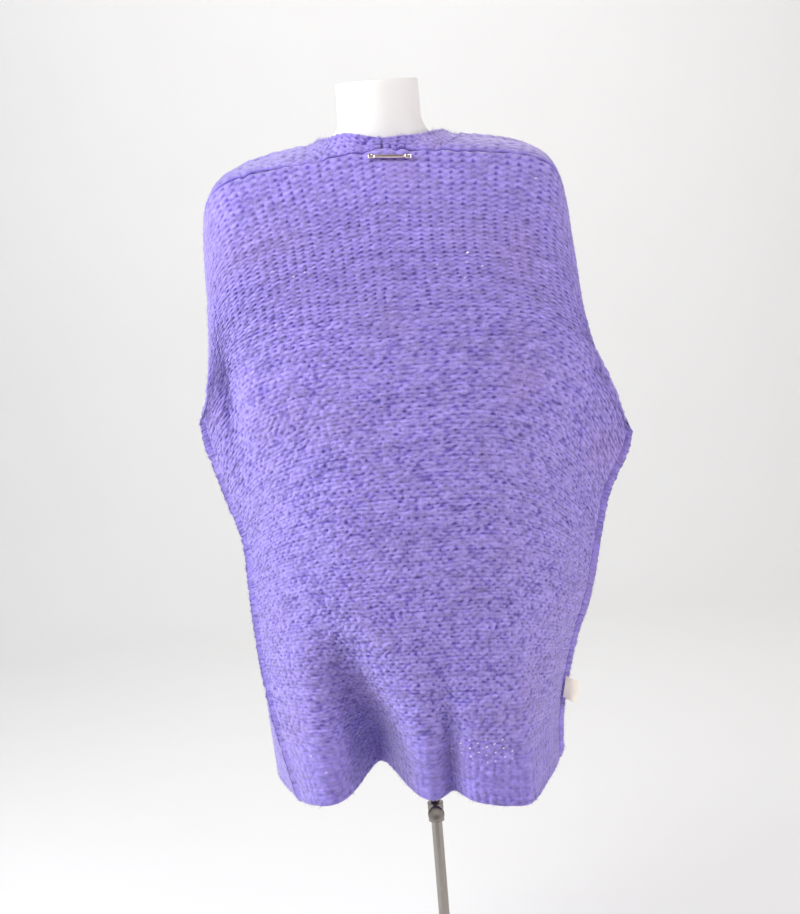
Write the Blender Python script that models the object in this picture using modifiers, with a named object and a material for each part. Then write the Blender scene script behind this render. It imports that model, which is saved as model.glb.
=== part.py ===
"""Oversized batwing cardigan in chunky knit, worn on a limbless dress form that stands on a pole.

Frame: metres, +Z up, the garment's back faces -Y, its open front faces +Y, the origin is on the floor
where the pole meets its base.
"""
import math

import bmesh
import bpy
import numpy as np

for old in list(bpy.data.objects):
    bpy.data.objects.remove(old, do_unlink=True)

# ---------------------------------------------------------------- driving sizes, metres
wall = 0.0060            # thickness of the chunky knit
seam_gap = 0.0003        # daylight between pieces that are sewn together
side_gap = 0.0006        # the same along the side seams, where the two allowances stand side by side
form_gap = 0.0028        # daylight between the cloth and the dress form
rib_height = 0.0035      # how far a rib of the hem stands over the cloth
rib_top = 0.90           # share of the length, from the shoulder seam, where the ribs begin
lip_height = 0.0075      # side seam allowance, worn on the outside
curl_height = 0.0030     # rolled free edges at the armholes and the front opening
band_width = 0.034       # strip round the back of the neck and down both fronts
corner = 0.26            # share of the length where the armhole ends and the side seam begins
back_columns = 56        # two columns to each rib of the hem
neck_columns = 5         # columns of each half of the back that the neck band covers
seam_share = 0.0003      # the front starts this far from the back at the shoulder seam

# The dress form: half width, half depth, middle in y and roundness of its level sections.
form_sections = [
    # z,    half_x, half_y, mid_y,  power
    (0.740, 0.150, 0.098, -0.006, 2.3),
    (0.800, 0.165, 0.109, -0.008, 2.3),
    (0.860, 0.163, 0.107, -0.008, 2.3),
    (0.930, 0.138, 0.092, -0.002, 2.2),
    (1.000, 0.124, 0.084, 0.000, 2.2),
    (1.070, 0.134, 0.093, 0.002, 2.2),
    (1.140, 0.150, 0.111, 0.005, 2.2),
    (1.200, 0.162, 0.110, 0.003, 2.3),
    (1.260, 0.184, 0.103, -0.003, 2.4),
    (1.310, 0.208, 0.090, -0.006, 2.4),
    (1.345, 0.216, 0.078, -0.007, 2.3),
    (1.376, 0.213, 0.067, -0.007, 2.0),
    (1.390, 0.200, 0.063, -0.006, 1.7),
    (1.399, 0.178, 0.062, -0.006, 1.5),
    (1.407, 0.142, 0.062, -0.005, 1.4),
    (1.413, 0.106, 0.062, -0.003, 1.5),
    (1.421, 0.077, 0.060, -0.001, 1.8),
    (1.438, 0.061, 0.058, 0.000, 2.0),
    (1.465, 0.0575, 0.0565, 0.000, 2.0),
    (1.500, 0.0570, 0.0565, 0.000, 2.0),
]

# The back panel, by level rows of the knitting from the shoulder seam down to the hem.
back_rows = [
    # share, mid_z, mid_y, bend, fullness, wrap
    (0.00, 1.405, -0.0790, 7.0, 0.95, 5.0),
    (0.05, 1.353, -0.1020, 5.6, 0.92, 4.2),
    (0.13, 1.282, -0.1110, 4.4, 0.85, 3.4),
    (0.26, 1.166, -0.1130, 3.6, 0.45, 2.8),
    (0.38, 1.058, -0.1160, 3.4, 0.25, 2.6),
    (0.50, 0.950, -0.1190, 3.2, 0.20, 2.6),
    (0.62, 0.842, -0.1210, 3.0, 0.20, 2.6),
    (0.74, 0.733, -0.1180, 2.8, 0.20, 3.0),
    (0.90, 0.584, -0.1060, 2.6, 0.22, 3.6),
    (1.00, 0.491, -0.1000, 2.4, 0.24, 4.0),
]

# The front, as if it were closed: the same rows, over the shoulder from the seam at the back.
front_rows = [
    # share, mid_z, mid_y, bend, full_left, full_right, wrap
    (0.00, 1.405, -0.0790, 7.0, 0.95, 0.95, 5.0),
    (0.02, 1.424, -0.0480, 7.0, 0.95, 0.95, 5.0),
    (0.04, 1.428, -0.0050, 7.0, 0.95, 0.95, 5.0),
    (0.06, 1.420, 0.0350, 6.6, 0.95, 0.95, 5.0),
    (0.09, 1.388, 0.0740, 6.0, 0.93, 0.93, 4.2),
    (0.13, 1.340, 0.0980, 5.0, 0.88, 0.88, 3.6),
    (0.19, 1.262, 0.1130, 4.2, 0.70, 0.70, 3.0),
    (0.26, 1.178, 0.1210, 3.6, 0.45, 0.45, 2.8),
    (0.38, 1.063, 0.1250, 3.4, 0.40, 0.30, 2.6),
    (0.50, 0.953, 0.1250, 3.2, 0.60, 0.25, 2.6),
    (0.62, 0.845, 0.1250, 3.0, 0.85, 0.25, 2.6),
    (0.74, 0.735, 0.1270, 2.8, 1.20, 0.25, 3.0),
    (0.90, 0.590, 0.1300, 2.6, 1.85, 0.30, 3.4),
    (1.00, 0.500, 0.1320, 2.4, 2.35, 0.30, 3.6),
]

# The outer edge of the panels: armhole from the end of the shoulder seam to the corner, then side seam.
left_edge = [
    # share,   x,      y,   opening,   z
    (0.00, -0.2550, 0.0050, 0.0000, 1.205),
    (0.05, -0.2570, -0.0200, 0.0490, 1.180),
    (0.13, -0.2620, -0.0300, 0.0650, 1.130),
    (0.20, -0.2700, -0.0200, 0.0440, 1.085),
    (0.26, -0.2760, 0.0000, 0.0000, 1.045),
    (0.38, -0.2600, 0.0080, 0.0000, 0.955),
    (0.50, -0.2360, 0.0100, 0.0000, 0.870),
    (0.62, -0.2310, 0.0060, 0.0000, 0.790),
    (0.74, -0.2250, -0.0020, 0.0000, 0.705),
    (0.90, -0.2070, -0.0240, 0.0000, 0.582),
    (1.00, -0.1890, -0.0380, 0.0000, 0.500),
]
right_edge = [
    # share,   x,      y,   opening,   z
    (0.00, 0.2590, 0.0050, 0.0000, 1.190),
    (0.05, 0.2640, -0.0200, 0.0490, 1.155),
    (0.13, 0.2790, -0.0300, 0.0650, 1.095),
    (0.20, 0.2980, -0.0200, 0.0440, 1.030),
    (0.26, 0.3130, 0.0000, 0.0000, 0.985),
    (0.38, 0.2790, 0.0100, 0.0000, 0.900),
    (0.50, 0.2600, 0.0140, 0.0000, 0.825),
    (0.62, 0.2430, 0.0160, 0.0000, 0.755),
    (0.74, 0.2140, 0.0180, 0.0000, 0.680),
    (0.90, 0.1900, 0.0230, 0.0000, 0.575),
    (1.00, 0.1850, 0.0280, 0.0000, 0.516),
]

# Soft folds that run up from the hem: where they stand at the hem and higher up, how deep and wide.
back_folds = [
    # hem_x,  high_x, deep,    wide,   lift,   fade_z
    (-0.076, -0.096, 0.1100, 0.042, 0.020, 0.80),
    (0.031, 0.028, 0.0430, 0.017, 0.008, 0.74),
    (0.172, 0.150, 0.0120, 0.018, 0.000, 0.88),
    (-0.150, -0.150, -0.0100, 0.035, 0.006, 0.80),
    (0.122, 0.095, -0.0260, 0.040, -0.012, 0.86),
]
front_folds = [
    # hem_x,  high_x, deep,    wide,   lift,   fade_z
    (-0.130, -0.120, -0.0360, 0.030, 0.008, 0.82),
    (-0.185, -0.190, 0.0100, 0.025, 0.000, 0.80),
    (0.105, 0.110, -0.0420, 0.032, 0.009, 0.84),
    (0.165, 0.175, 0.0100, 0.030, 0.000, 0.80),
]
# Hollows beside the elbow corners, where the sleeve part falls from the shoulder.
elbow_hollows = [
    # x,      z,      deep,   wide_x, wide_z
    (-0.243, 1.075, 0.020, 0.018, 0.085),
    (0.262, 1.080, 0.008, 0.022, 0.080),
]

# The front bands: where their sewn and free edges stand, from the shoulder seam to the hem.
band_line = [
    # share, sewn_x, free_x
    (0.00, 0.080, 0.079),
    (0.03, 0.104, 0.079),
    (0.06, 0.107, 0.077),
    (0.10, 0.088, 0.059),
    (0.16, 0.070, 0.039),
    (0.26, 0.058, 0.025),
    (0.50, 0.054, 0.020),
    (0.75, 0.054, 0.020),
    (1.00, 0.056, 0.022),
]
neck_half_x = 0.0790         # free edge of the band round the neck
neck_half_y = 0.0700
neck_back_z = 1.426
neck_side_z = 1.422

label_share = 0.850          # where along the length the care label is sewn in
label_wide = 0.024
label_high = 0.034
label_thick = 0.0012
bar_long = 0.058
bar_z = 1.397
bar_x = 0.009

pole_radius = 0.0060         # inner rod of the telescopic pole
tube_radius = 0.0080         # outer tube
tube_bore = 0.0064
tube_top = 0.446
collar_radius = 0.0115
collar_low = 0.430
collar_high = 0.459
knob_radius = 0.0120
knob_z = 0.449
base_radius = 0.180

# ---------------------------------------------------------------- small helpers


def smooth_table(rows, at):
    """Runs a smooth curve through the rows of a table, one curve to a column, at the shares asked for."""
    rows = np.array(rows, float)
    knots = rows[:, 0]
    values = rows[:, 1:]
    at = np.clip(np.asarray(at, float), knots[0], knots[-1])
    steps = np.diff(knots)[:, None]
    slopes = np.diff(values, axis=0) / steps
    tangent = np.zeros_like(values)
    tangent[0] = slopes[0]
    tangent[-1] = slopes[-1]
    tangent[1:-1] = (slopes[:-1] * steps[1:] + slopes[1:] * steps[:-1]) / (steps[:-1] + steps[1:])
    turned = slopes[:-1] * slopes[1:] <= 0.0
    tangent[1:-1] = np.where(turned, 0.0, tangent[1:-1])
    i = np.clip(np.searchsorted(knots, at, side="right") - 1, 0, len(knots) - 2)
    h = (knots[i + 1] - knots[i])[..., None]
    t = ((at - knots[i]) / (knots[i + 1] - knots[i]))[..., None]
    out = (2 * t**3 - 3 * t**2 + 1) * values[i] + (t**3 - 2 * t**2 + t) * h * tangent[i]
    out = out + (3 * t**2 - 2 * t**3) * values[i + 1] + (t**3 - t**2) * h * tangent[i + 1]
    return np.moveaxis(out, -1, 0)


def ease(t):
    t = np.clip(t, 0.0, 1.0)
    return t * t * (3 - 2 * t)


def form_distance(p):
    """How far points are outside the dress form, near it, and which way out is."""
    def field(q):
        half_x, half_y, mid_y, power = smooth_table(form_sections, q[..., 2])
        u = np.abs(q[..., 0]) / half_x
        w = np.abs(q[..., 1] - mid_y) / half_y
        return (u**power + w**power + 1e-12) ** (1 / power) - 1.0

    value = field(p)
    step = 0.0005
    slope = []
    for axis in range(3):
        shift = np.zeros(3)
        shift[axis] = step
        slope.append((field(p + shift) - field(p - shift)) / (2 * step))
    slope = np.stack(slope, -1)
    size = np.linalg.norm(slope, axis=-1) + 1e-9
    return value / size, slope / size[..., None]


def clear_of_form(p, gap):
    for _ in range(4):
        away, out = form_distance(p)
        move = np.clip(gap - away, 0.0, 0.05)
        move = np.where((p[..., 2] < 0.735) | (p[..., 2] > 1.47), 0.0, move)
        p = p + out * move[..., None]
    return p


def folds(table, x, z):
    """How far the folds push the cloth in y and lift it in z."""
    push = np.zeros_like(x)
    lift = np.zeros_like(x)
    for hem_x, high_x, deep, wide, up, fade_z in table:
        down = ease((fade_z - z) / (fade_z - 0.50))
        at = high_x + (hem_x - high_x) * down
        shape = np.exp(-(((x - at) / wide) ** 2)) * down**1.3
        push = push + deep * shape
        lift = lift + up * shape * ease((0.66 - z) / 0.16)
    return push, lift


def panel(mid_z, mid_y, bend, fullness, wrap, in_front, across, share, fold_table, slope):
    """Inner face of a panel at across (-1 left edge, 0 middle, +1 right edge) and share of the length."""
    left = smooth_table(left_edge, share)
    right = smooth_table(right_edge, share)
    on_right = across > 0
    end_x = np.where(on_right, right[0], -left[0])
    end_y = np.where(on_right, right[1], left[1])
    end_y = end_y + in_front * (np.where(on_right, right[2], left[2]) + side_gap)
    end_z = np.where(on_right, right[3], left[3])
    a = np.minimum(np.abs(across), 1.0)
    x = np.sign(across) * end_x * a * (1 + fullness * (1 - a))
    y = mid_y + (end_y - mid_y) * a**wrap
    ridge = (0.06 + slope * ease(share / 0.02)) * np.abs(x) * ease((0.30 - share) / 0.25)
    z = mid_z - ridge * (1 - a**bend) - (mid_z - end_z) * a**bend
    push, lift = folds(fold_table, x, z)
    hold = ease((1 - a) / 0.16)
    y = y + push * hold
    z = z + lift * hold
    for hollow_x, hollow_z, deep, wide_x, wide_z in elbow_hollows:
        near = np.exp(-(((x - hollow_x) / wide_x) ** 2) - ((z - hollow_z) / wide_z) ** 2)
        y = y + deep * near * (1 - 2 * in_front) * ease((1 - a) / 0.10)
    return np.stack([x, y, z], -1)


def back_surface(across, share):
    across, share = np.broadcast_arrays(across, share)
    mid_z, mid_y, bend, fullness, wrap = smooth_table(back_rows, share)
    p = panel(mid_z, mid_y, bend, fullness, wrap, 0, across, share, back_folds, 0.0)
    return clear_of_form(p, form_gap)


def front_surface(across, share):
    across, share = np.broadcast_arrays(across, share)
    mid_z, mid_y, bend, full_left, full_right, wrap = smooth_table(front_rows, share)
    fullness = np.where(across > 0, full_right, full_left)
    p = panel(mid_z, mid_y, bend, fullness, wrap, 1, across, share, front_folds, 0.10)
    return clear_of_form(p, form_gap)


def normals_of(surface, across, share):
    """Which way a panel faces outward, from points a little apart on it."""
    step_a, step_s = 0.012, 0.008
    a_high = np.clip(across + step_a, -1, 1)
    a_low = np.clip(across - step_a, -1, 1)
    s_high = np.clip(share + step_s, 0, 1)
    s_low = np.clip(share - step_s, 0, 1)
    along = surface(a_high, share) - surface(a_low, share)
    down = surface(across, s_high) - surface(across, s_low)
    n = np.cross(along, down)
    n = n / (np.linalg.norm(n, axis=-1, keepdims=True) + 1e-12)
    return n * (-1.0 if surface is back_surface else 1.0)


def across_at(side, x, share):
    """The place across the front where its row stands at a given x, from the row's own formula."""
    fullness = smooth_table(front_rows, share)[3 if side < 0 else 4]
    end_x = np.abs(smooth_table(left_edge if side < 0 else right_edge, share)[0])
    part = np.clip(np.abs(x) / end_x, 0, 1)
    root = np.sqrt(np.maximum((1 + fullness) ** 2 - 4 * fullness * part, 0))
    return side * ((1 + fullness) - root) / (2 * fullness)


def sewn_place(side, share, apart):
    """Where the front band meets the front panel, starting at a column of the back panel."""
    x = smooth_table(band_line, share)[0] + apart
    first = neck_columns / (back_columns // 2)
    drift = first - abs(float(across_at(side, band_line[0][1], 0.0)))
    return across_at(side, x, share) + side * drift * (1 - ease(share / 0.03))


collection = bpy.data.collections.new("oversized_cardigan")
bpy.context.scene.collection.children.link(collection)


def make_material(name, colour, roughness, metallic):
    made = bpy.data.materials.new(name)
    made.use_nodes = True
    shader = made.node_tree.nodes["Principled BSDF"]
    shader.inputs["Base Color"].default_value = (*colour, 1.0)
    shader.inputs["Roughness"].default_value = roughness
    shader.inputs["Metallic"].default_value = metallic
    made.diffuse_color = (*colour, 1.0)
    return made


knit_back = make_material("knit_back", (0.305, 0.235, 0.680), 0.92, 0.0)
knit_front_left = make_material("knit_front_left", (0.305, 0.235, 0.680), 0.92, 0.0)
knit_front_right = make_material("knit_front_right", (0.305, 0.235, 0.680), 0.92, 0.0)
knit_band_left = make_material("knit_band_left", (0.350, 0.280, 0.720), 0.92, 0.0)
knit_band_right = make_material("knit_band_right", (0.350, 0.280, 0.720), 0.92, 0.0)
label_cloth = make_material("label_cloth", (0.80, 0.70, 0.62), 0.80, 0.0)
bar_metal = make_material("bar_metal", (0.72, 0.60, 0.56), 0.30, 1.0)
form_white = make_material("form_white", (0.88, 0.87, 0.85), 0.55, 0.0)
rod_chrome = make_material("rod_chrome", (0.62, 0.60, 0.58), 0.18, 1.0)
tube_chrome = make_material("tube_chrome", (0.62, 0.60, 0.58), 0.18, 1.0)
collar_chrome = make_material("collar_chrome", (0.62, 0.60, 0.58), 0.18, 1.0)
knob_chrome = make_material("knob_chrome", (0.62, 0.60, 0.58), 0.18, 1.0)
base_chrome = make_material("base_chrome", (0.60, 0.59, 0.58), 0.25, 1.0)


def add_object(name, mesh, paint):
    made = bpy.data.objects.new(name, mesh)
    collection.objects.link(made)
    mesh.materials.append(paint)
    return made


def face_outward(mesh):
    shell = bmesh.new()
    shell.from_mesh(mesh)
    bmesh.ops.recalc_face_normals(shell, faces=shell.faces)
    shell.to_mesh(mesh)
    shell.free()


def unit(v):
    return v / (np.linalg.norm(v, axis=-1, keepdims=True) + 1e-12)


def cloth(name, inside, normal, thick, paint):
    """A wall over rows of points: the inside stays plain, the outer points carry the ribs and lips."""
    rows, columns = inside.shape[:2]
    outside = inside + unit(normal) * thick[..., None]
    points = np.concatenate([inside.reshape(-1, 3), outside.reshape(-1, 3)])
    lower = np.arange(rows * columns).reshape(rows, columns)
    upper = lower + rows * columns
    faces = []
    for grid, turn in ((lower, 1), (upper, -1)):
        quads = np.stack([grid[:-1, :-1], grid[:-1, 1:], grid[1:, 1:], grid[1:, :-1]], -1)
        faces += quads.reshape(-1, 4)[:, ::turn].tolist()
    around = [(0, s) for s in range(columns)] + [(r, columns - 1) for r in range(1, rows)]
    around += [(rows - 1, s) for s in range(columns - 2, -1, -1)] + [(r, 0) for r in range(rows - 2, 0, -1)]
    for here, there in zip(around, around[1:] + around[:1]):
        faces.append([int(lower[here]), int(lower[there]), int(upper[there]), int(upper[here])])
    mesh = bpy.data.meshes.new(name)
    mesh.from_pydata(points.tolist(), [], faces)
    mesh.update()
    face_outward(mesh)
    return add_object(name, mesh, paint)


def rib_wave(count):
    """Raised and sunk columns by turns, one rib to two columns."""
    return (np.arange(count) % 2).astype(float)


def seam_normals(normal, across, share):
    """At the side seams both panels turn out the same way, so their allowances stand side by side."""
    edge = (np.abs(across) > 0.999) * ease((share - corner + 0.03) / 0.03)
    ends = np.where(across > 0, 1.0, -1.0)
    both = unit(normals_of(back_surface, ends, share) + normals_of(front_surface, ends, share))
    return unit(normal * (1 - edge[..., None]) + both * edge[..., None])


def shoulder_normals(across):
    """Along the shoulder seam the back and the front lean the same way."""
    behind = normals_of(back_surface, across, np.zeros_like(across))
    before = normals_of(front_surface, across, np.full_like(across, seam_share))
    return unit(behind + before)


# ---------------------------------------------------------------- back panel
back_shares = np.array(
    [0, .02, .05, .09, .13, .17, .21, .26, .32, .38, .44, .50, .57, .64, .71, .78, .84, .895, .905, .955, 1]
)
across = np.linspace(-1, 1, back_columns + 1)
A, V = np.meshgrid(across, back_shares)
back_points = back_surface(A, V)
back_normals = normals_of(back_surface, A, V)
back_normals[0] = shoulder_normals(across)
back_normals = seam_normals(back_normals, A, V)
back_thick = np.full(V.shape, wall)
back_thick += np.where(V > rib_top, rib_height, 0.0) * rib_wave(back_columns + 1)[None, :]
edge_rows = (np.abs(A) > 0.999).astype(float)
below = ease((V - corner) / 0.03)
back_thick += lip_height * below * edge_rows
back_thick += curl_height * (1 - below) * ease((V - 0.02) / 0.05) * edge_rows
cloth("back", back_points, back_normals, back_thick, knit_back)

# ---------------------------------------------------------------- front panels
front_shares = np.array(
    [seam_share, .012, .022, .032, .043, .055, .070, .088, .11, .14, .18, .22, .26, .32, .38, .44, .50, .57, .64,
     .71, .78, .84, .895, .905, .955, 1]
)


front_columns = back_columns // 2 - neck_columns


def front_panel(name, side, paint):
    v = front_shares[:, None] * np.ones(front_columns + 1)[None, :]
    start = np.abs(sewn_place(side, front_shares, seam_gap))[:, None]
    share = np.linspace(0, 1, front_columns + 1)[None, :]
    place = side * (start + (1 - start) * share)
    place[0] = side * np.arange(neck_columns, back_columns // 2 + 1) / (back_columns // 2)
    place[0, 0] += side * seam_gap * 2
    points = front_surface(place, v)
    normal = normals_of(front_surface, place, v)
    normal[0] = shoulder_normals(place[0])
    normal = seam_normals(normal, place, v)
    thick = np.full(v.shape, wall)
    thick += np.where(v > rib_top, rib_height, 0.0) * rib_wave(front_columns + 1)[None, ::-1]
    last = (share > 0.999) * np.ones(v.shape)
    below = ease((v - corner) / 0.03)
    thick += lip_height * below * last
    thick += curl_height * (1 - below) * ease((v - 0.02) / 0.05) * last
    cloth(name, points, normal, thick, paint)


front_panel("front_left", -1, knit_front_left)
front_panel("front_right", 1, knit_front_right)

# ---------------------------------------------------------------- neck and front bands


def band(name, side, paint):
    """A strip from the join at the middle of the back, round the neck and down the front edge."""
    down = front_shares
    neck_steps = neck_columns
    sewn_at = sewn_place(side, down, 0.0)
    sewn_front = front_surface(sewn_at, down)
    sewn_normal = normals_of(front_surface, sewn_at, down)
    sewn_normal[0] = shoulder_normals(sewn_at[:1])[0]
    free_x = smooth_table(band_line, down)[1]
    free_front = front_surface(across_at(side, free_x, down), down)

    behind_at = side * np.arange(neck_steps) / (back_columns // 2)
    sewn_back = front_surface(behind_at, np.full(neck_steps, seam_share))
    sewn_back[0, 0] = side * seam_gap / 2
    back_normal = shoulder_normals(behind_at)
    back_normal[0, 0] = 0.0

    sewn = np.concatenate([sewn_back, sewn_front])
    sewn_normal = np.concatenate([back_normal, sewn_normal])
    turning = neck_steps + 5
    angle = np.linspace(0, 1, turning) * math.pi / 2
    free = np.concatenate([np.zeros((neck_steps, 3)), free_front])
    free[:turning, 0] = side * (neck_half_x * np.sin(angle) + seam_gap / 2)
    free[:turning, 1] = -neck_half_y * np.cos(angle)
    free[:turning, 2] = neck_back_z + (neck_side_z - neck_back_z) * np.sin(angle)

    strips = 4
    w = np.linspace(0, 1, strips + 1)[None, :, None]
    points = sewn[:, None, :] * (1 - w) + free[:, None, :] * w
    points = clear_of_form(points, form_gap)
    points[0, :, 0] = side * seam_gap / 2
    along = np.gradient(points, axis=0)
    over = np.gradient(points, axis=1)
    normal = unit(np.cross(along, over)) * side
    normal[:, 0] = sewn_normal
    normal[0, :, 0] = 0.0
    thick = np.full(points.shape[:2], wall)
    thick[:, -1] += 0.5 * curl_height
    cloth(name, points, normal, thick, paint)


band("band_left", -1, knit_band_left)
band("band_right", 1, knit_band_right)

# ---------------------------------------------------------------- care label, sewn in the right side seam
label_at = np.array([label_share])
sewn_in = back_surface(np.ones(1), label_at)[0]
lip = wall + lip_height * 0.98 + seam_gap
count = 5
w, h = np.meshgrid(np.linspace(0, 1, count), np.linspace(-0.5, 0.5, count))
label_points = np.zeros((count, count, 3))
label_points[..., 0] = sewn_in[0] + lip + label_wide * (0.76 * w - 0.26 * h)
label_points[..., 1] = sewn_in[1] - 0.002 - 0.004 * np.sin(w * math.pi * 0.9) - 0.003 * w
label_points[..., 2] = sewn_in[2] - label_wide * 0.60 * w - label_high * 0.94 * h
label_normals = np.zeros_like(label_points)
label_normals[..., 1] = -1.0
cloth("care_label", label_points, label_normals, np.full((count, count), label_thick), label_cloth)

# ---------------------------------------------------------------- metal bar under the neck seam


def revolve(name, profile, paint, steps, where):
    """Spins a closed outline of (radius, height) pairs round the upright axis."""
    mesh = bpy.data.meshes.new(name)
    corners = [(r, 0.0, z) for r, z in profile]
    on_axis = profile[0][0] < 1e-6 and profile[-1][0] < 1e-6
    edges = [(i, i + 1) for i in range(len(profile) - 1)]
    if not on_axis:
        edges.append((len(profile) - 1, 0))
    mesh.from_pydata(corners, edges, [])
    mesh.update()
    made = add_object(name, mesh, paint)
    spin = made.modifiers.new("spin", "SCREW")
    spin.axis = "Z"
    spin.steps = steps
    spin.render_steps = steps
    spin.use_merge_vertices = True
    spin.merge_threshold = 0.00005
    made.location = where
    return made


bar_share = (back_rows[0][1] - bar_z) / 0.9
bar_row = back_surface(np.linspace(-0.09, 0.09, 9), np.full(9, bar_share))
bar_y = float(bar_row[:, 1].min()) - wall - seam_gap - 0.0035
bar_profile = [
    # distance from the middle, half height
    (0.0000, 0.0018), (0.0200, 0.0018), (0.0212, 0.0029), (0.0232, 0.0032), (0.0246, 0.0026), (0.0262, 0.0033),
    (0.0285, 0.0033), (0.0290, 0.0028),
]
stations = [(-d, r) for d, r in bar_profile[:0:-1]] + bar_profile
rings = []
for d, r in stations:
    turn = np.arange(12) * math.pi / 6
    rings.append(np.stack([np.full(12, d), r * np.cos(turn), r * np.sin(turn)], -1))
bar_points = np.array(rings)
bar_points += np.array([bar_x, bar_y, bar_z])
index = np.arange(len(stations) * 12).reshape(-1, 12)
beside = np.roll(index, -1, 1)
bar_faces = np.stack([index[:-1], beside[:-1], beside[1:], index[1:]], -1).reshape(-1, 4).tolist()
bar_faces += [index[0].tolist(), index[-1][::-1].tolist()]
bar_mesh = bpy.data.meshes.new("neck_bar")
bar_mesh.from_pydata(bar_points.reshape(-1, 3).tolist(), [], bar_faces)
bar_mesh.update()
face_outward(bar_mesh)
add_object("neck_bar", bar_mesh, bar_metal)

# ---------------------------------------------------------------- dress form


def loft_form():
    levels = np.array([row[0] for row in form_sections])
    extra = [0.770, 0.830, 0.895, 0.965, 1.035, 1.105, 1.170, 1.230, 1.285, 1.328, 1.360]
    levels = np.sort(np.concatenate([levels, extra]))
    half_x, half_y, mid_y, power = smooth_table(form_sections, levels)
    count = 40
    turn = np.arange(count) * 2 * math.pi / count
    c, s = np.cos(turn)[None, :], np.sin(turn)[None, :]
    x = np.sign(c) * np.abs(c) ** (2 / power[:, None]) * half_x[:, None]
    y = np.sign(s) * np.abs(s) ** (2 / power[:, None]) * half_y[:, None] + mid_y[:, None]
    z = levels[:, None] * np.ones_like(x)
    points = np.stack([x, y, z], -1)
    index = np.arange(len(levels) * count).reshape(-1, count)
    beside = np.roll(index, -1, 1)
    faces = np.stack([index[:-1], beside[:-1], beside[1:], index[1:]], -1).reshape(-1, 4).tolist()
    faces.append(index[0][::-1].tolist())
    faces.append(index[-1].tolist())
    mesh = bpy.data.meshes.new("dress_form")
    mesh.from_pydata(points.reshape(-1, 3).tolist(), [], faces)
    mesh.update()
    face_outward(mesh)
    return add_object("dress_form", mesh, form_white)


loft_form()

# ---------------------------------------------------------------- pole, clamp and base
form_low = form_sections[0][0]
rod_top = form_low - seam_gap
rod_low = 0.150
revolve("pole_rod", [
    (0.0, rod_top), (0.030, rod_top), (0.031, rod_top - 0.001), (0.031, rod_top - 0.005),
    (0.010, rod_top - 0.009), (pole_radius, rod_top - 0.020), (pole_radius, rod_low), (0.0, rod_low),
], rod_chrome, 32, (0, 0, 0))
revolve("pole_tube", [
    (tube_bore, tube_top), (tube_radius, tube_top), (tube_radius, 0.0083), (tube_bore, 0.0083),
], tube_chrome, 32, (0, 0, 0))
revolve("clamp_collar", [
    (tube_bore, collar_high - 0.0005), (0.0095, collar_high), (collar_radius, collar_high - 0.0015),
    (collar_radius, collar_low + 0.001), (collar_radius - 0.001, collar_low), (tube_radius + seam_gap, collar_low),
    (tube_radius + seam_gap, tube_top + seam_gap), (tube_bore, tube_top + seam_gap),
], collar_chrome, 32, (0, 0, 0))
knob = revolve("clamp_knob", [
    (0.0, 0.0180), (0.0090, 0.0180), (0.0115, 0.0172), (knob_radius, 0.0160), (knob_radius, 0.0100),
    (0.0112, 0.0088), (0.0050, 0.0080), (0.0038, 0.0060), (0.0038, 0.0), (0.0, 0.0),
], knob_chrome, 32, (0, -collar_radius - seam_gap, knob_z))
knob.rotation_euler = (math.pi / 2, 0, 0)
revolve("base", [
    (0.0, 0.0080), (0.0083, 0.0080), (0.0083, 0.0380), (0.0110, 0.0380), (0.0125, 0.0365), (0.0140, 0.0200),
    (0.0240, 0.0130), (0.0600, 0.0110), (0.1500, 0.0080), (base_radius - 0.003, 0.0060), (base_radius, 0.0035),
    (base_radius, 0.0010), (base_radius - 0.001, 0.0), (0.0, 0.0),
], base_chrome, 64, (0, 0, 0))
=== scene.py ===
import math

import bpy
import numpy as np
from mathutils import Matrix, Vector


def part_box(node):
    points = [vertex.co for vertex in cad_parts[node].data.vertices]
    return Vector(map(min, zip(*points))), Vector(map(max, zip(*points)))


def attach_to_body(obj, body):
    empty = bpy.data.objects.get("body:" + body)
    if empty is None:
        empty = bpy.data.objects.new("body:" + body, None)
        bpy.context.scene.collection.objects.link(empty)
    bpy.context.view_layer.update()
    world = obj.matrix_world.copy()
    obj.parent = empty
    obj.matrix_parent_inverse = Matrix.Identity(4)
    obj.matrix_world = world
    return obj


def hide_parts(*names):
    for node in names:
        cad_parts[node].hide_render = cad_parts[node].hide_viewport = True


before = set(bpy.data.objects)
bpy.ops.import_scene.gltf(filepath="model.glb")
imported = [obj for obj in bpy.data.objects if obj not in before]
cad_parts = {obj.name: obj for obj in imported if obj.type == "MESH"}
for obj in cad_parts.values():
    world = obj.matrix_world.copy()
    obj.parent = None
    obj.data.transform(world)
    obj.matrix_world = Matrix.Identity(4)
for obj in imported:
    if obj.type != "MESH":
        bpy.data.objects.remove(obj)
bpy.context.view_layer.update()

chance = np.random.default_rng(19)

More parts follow.
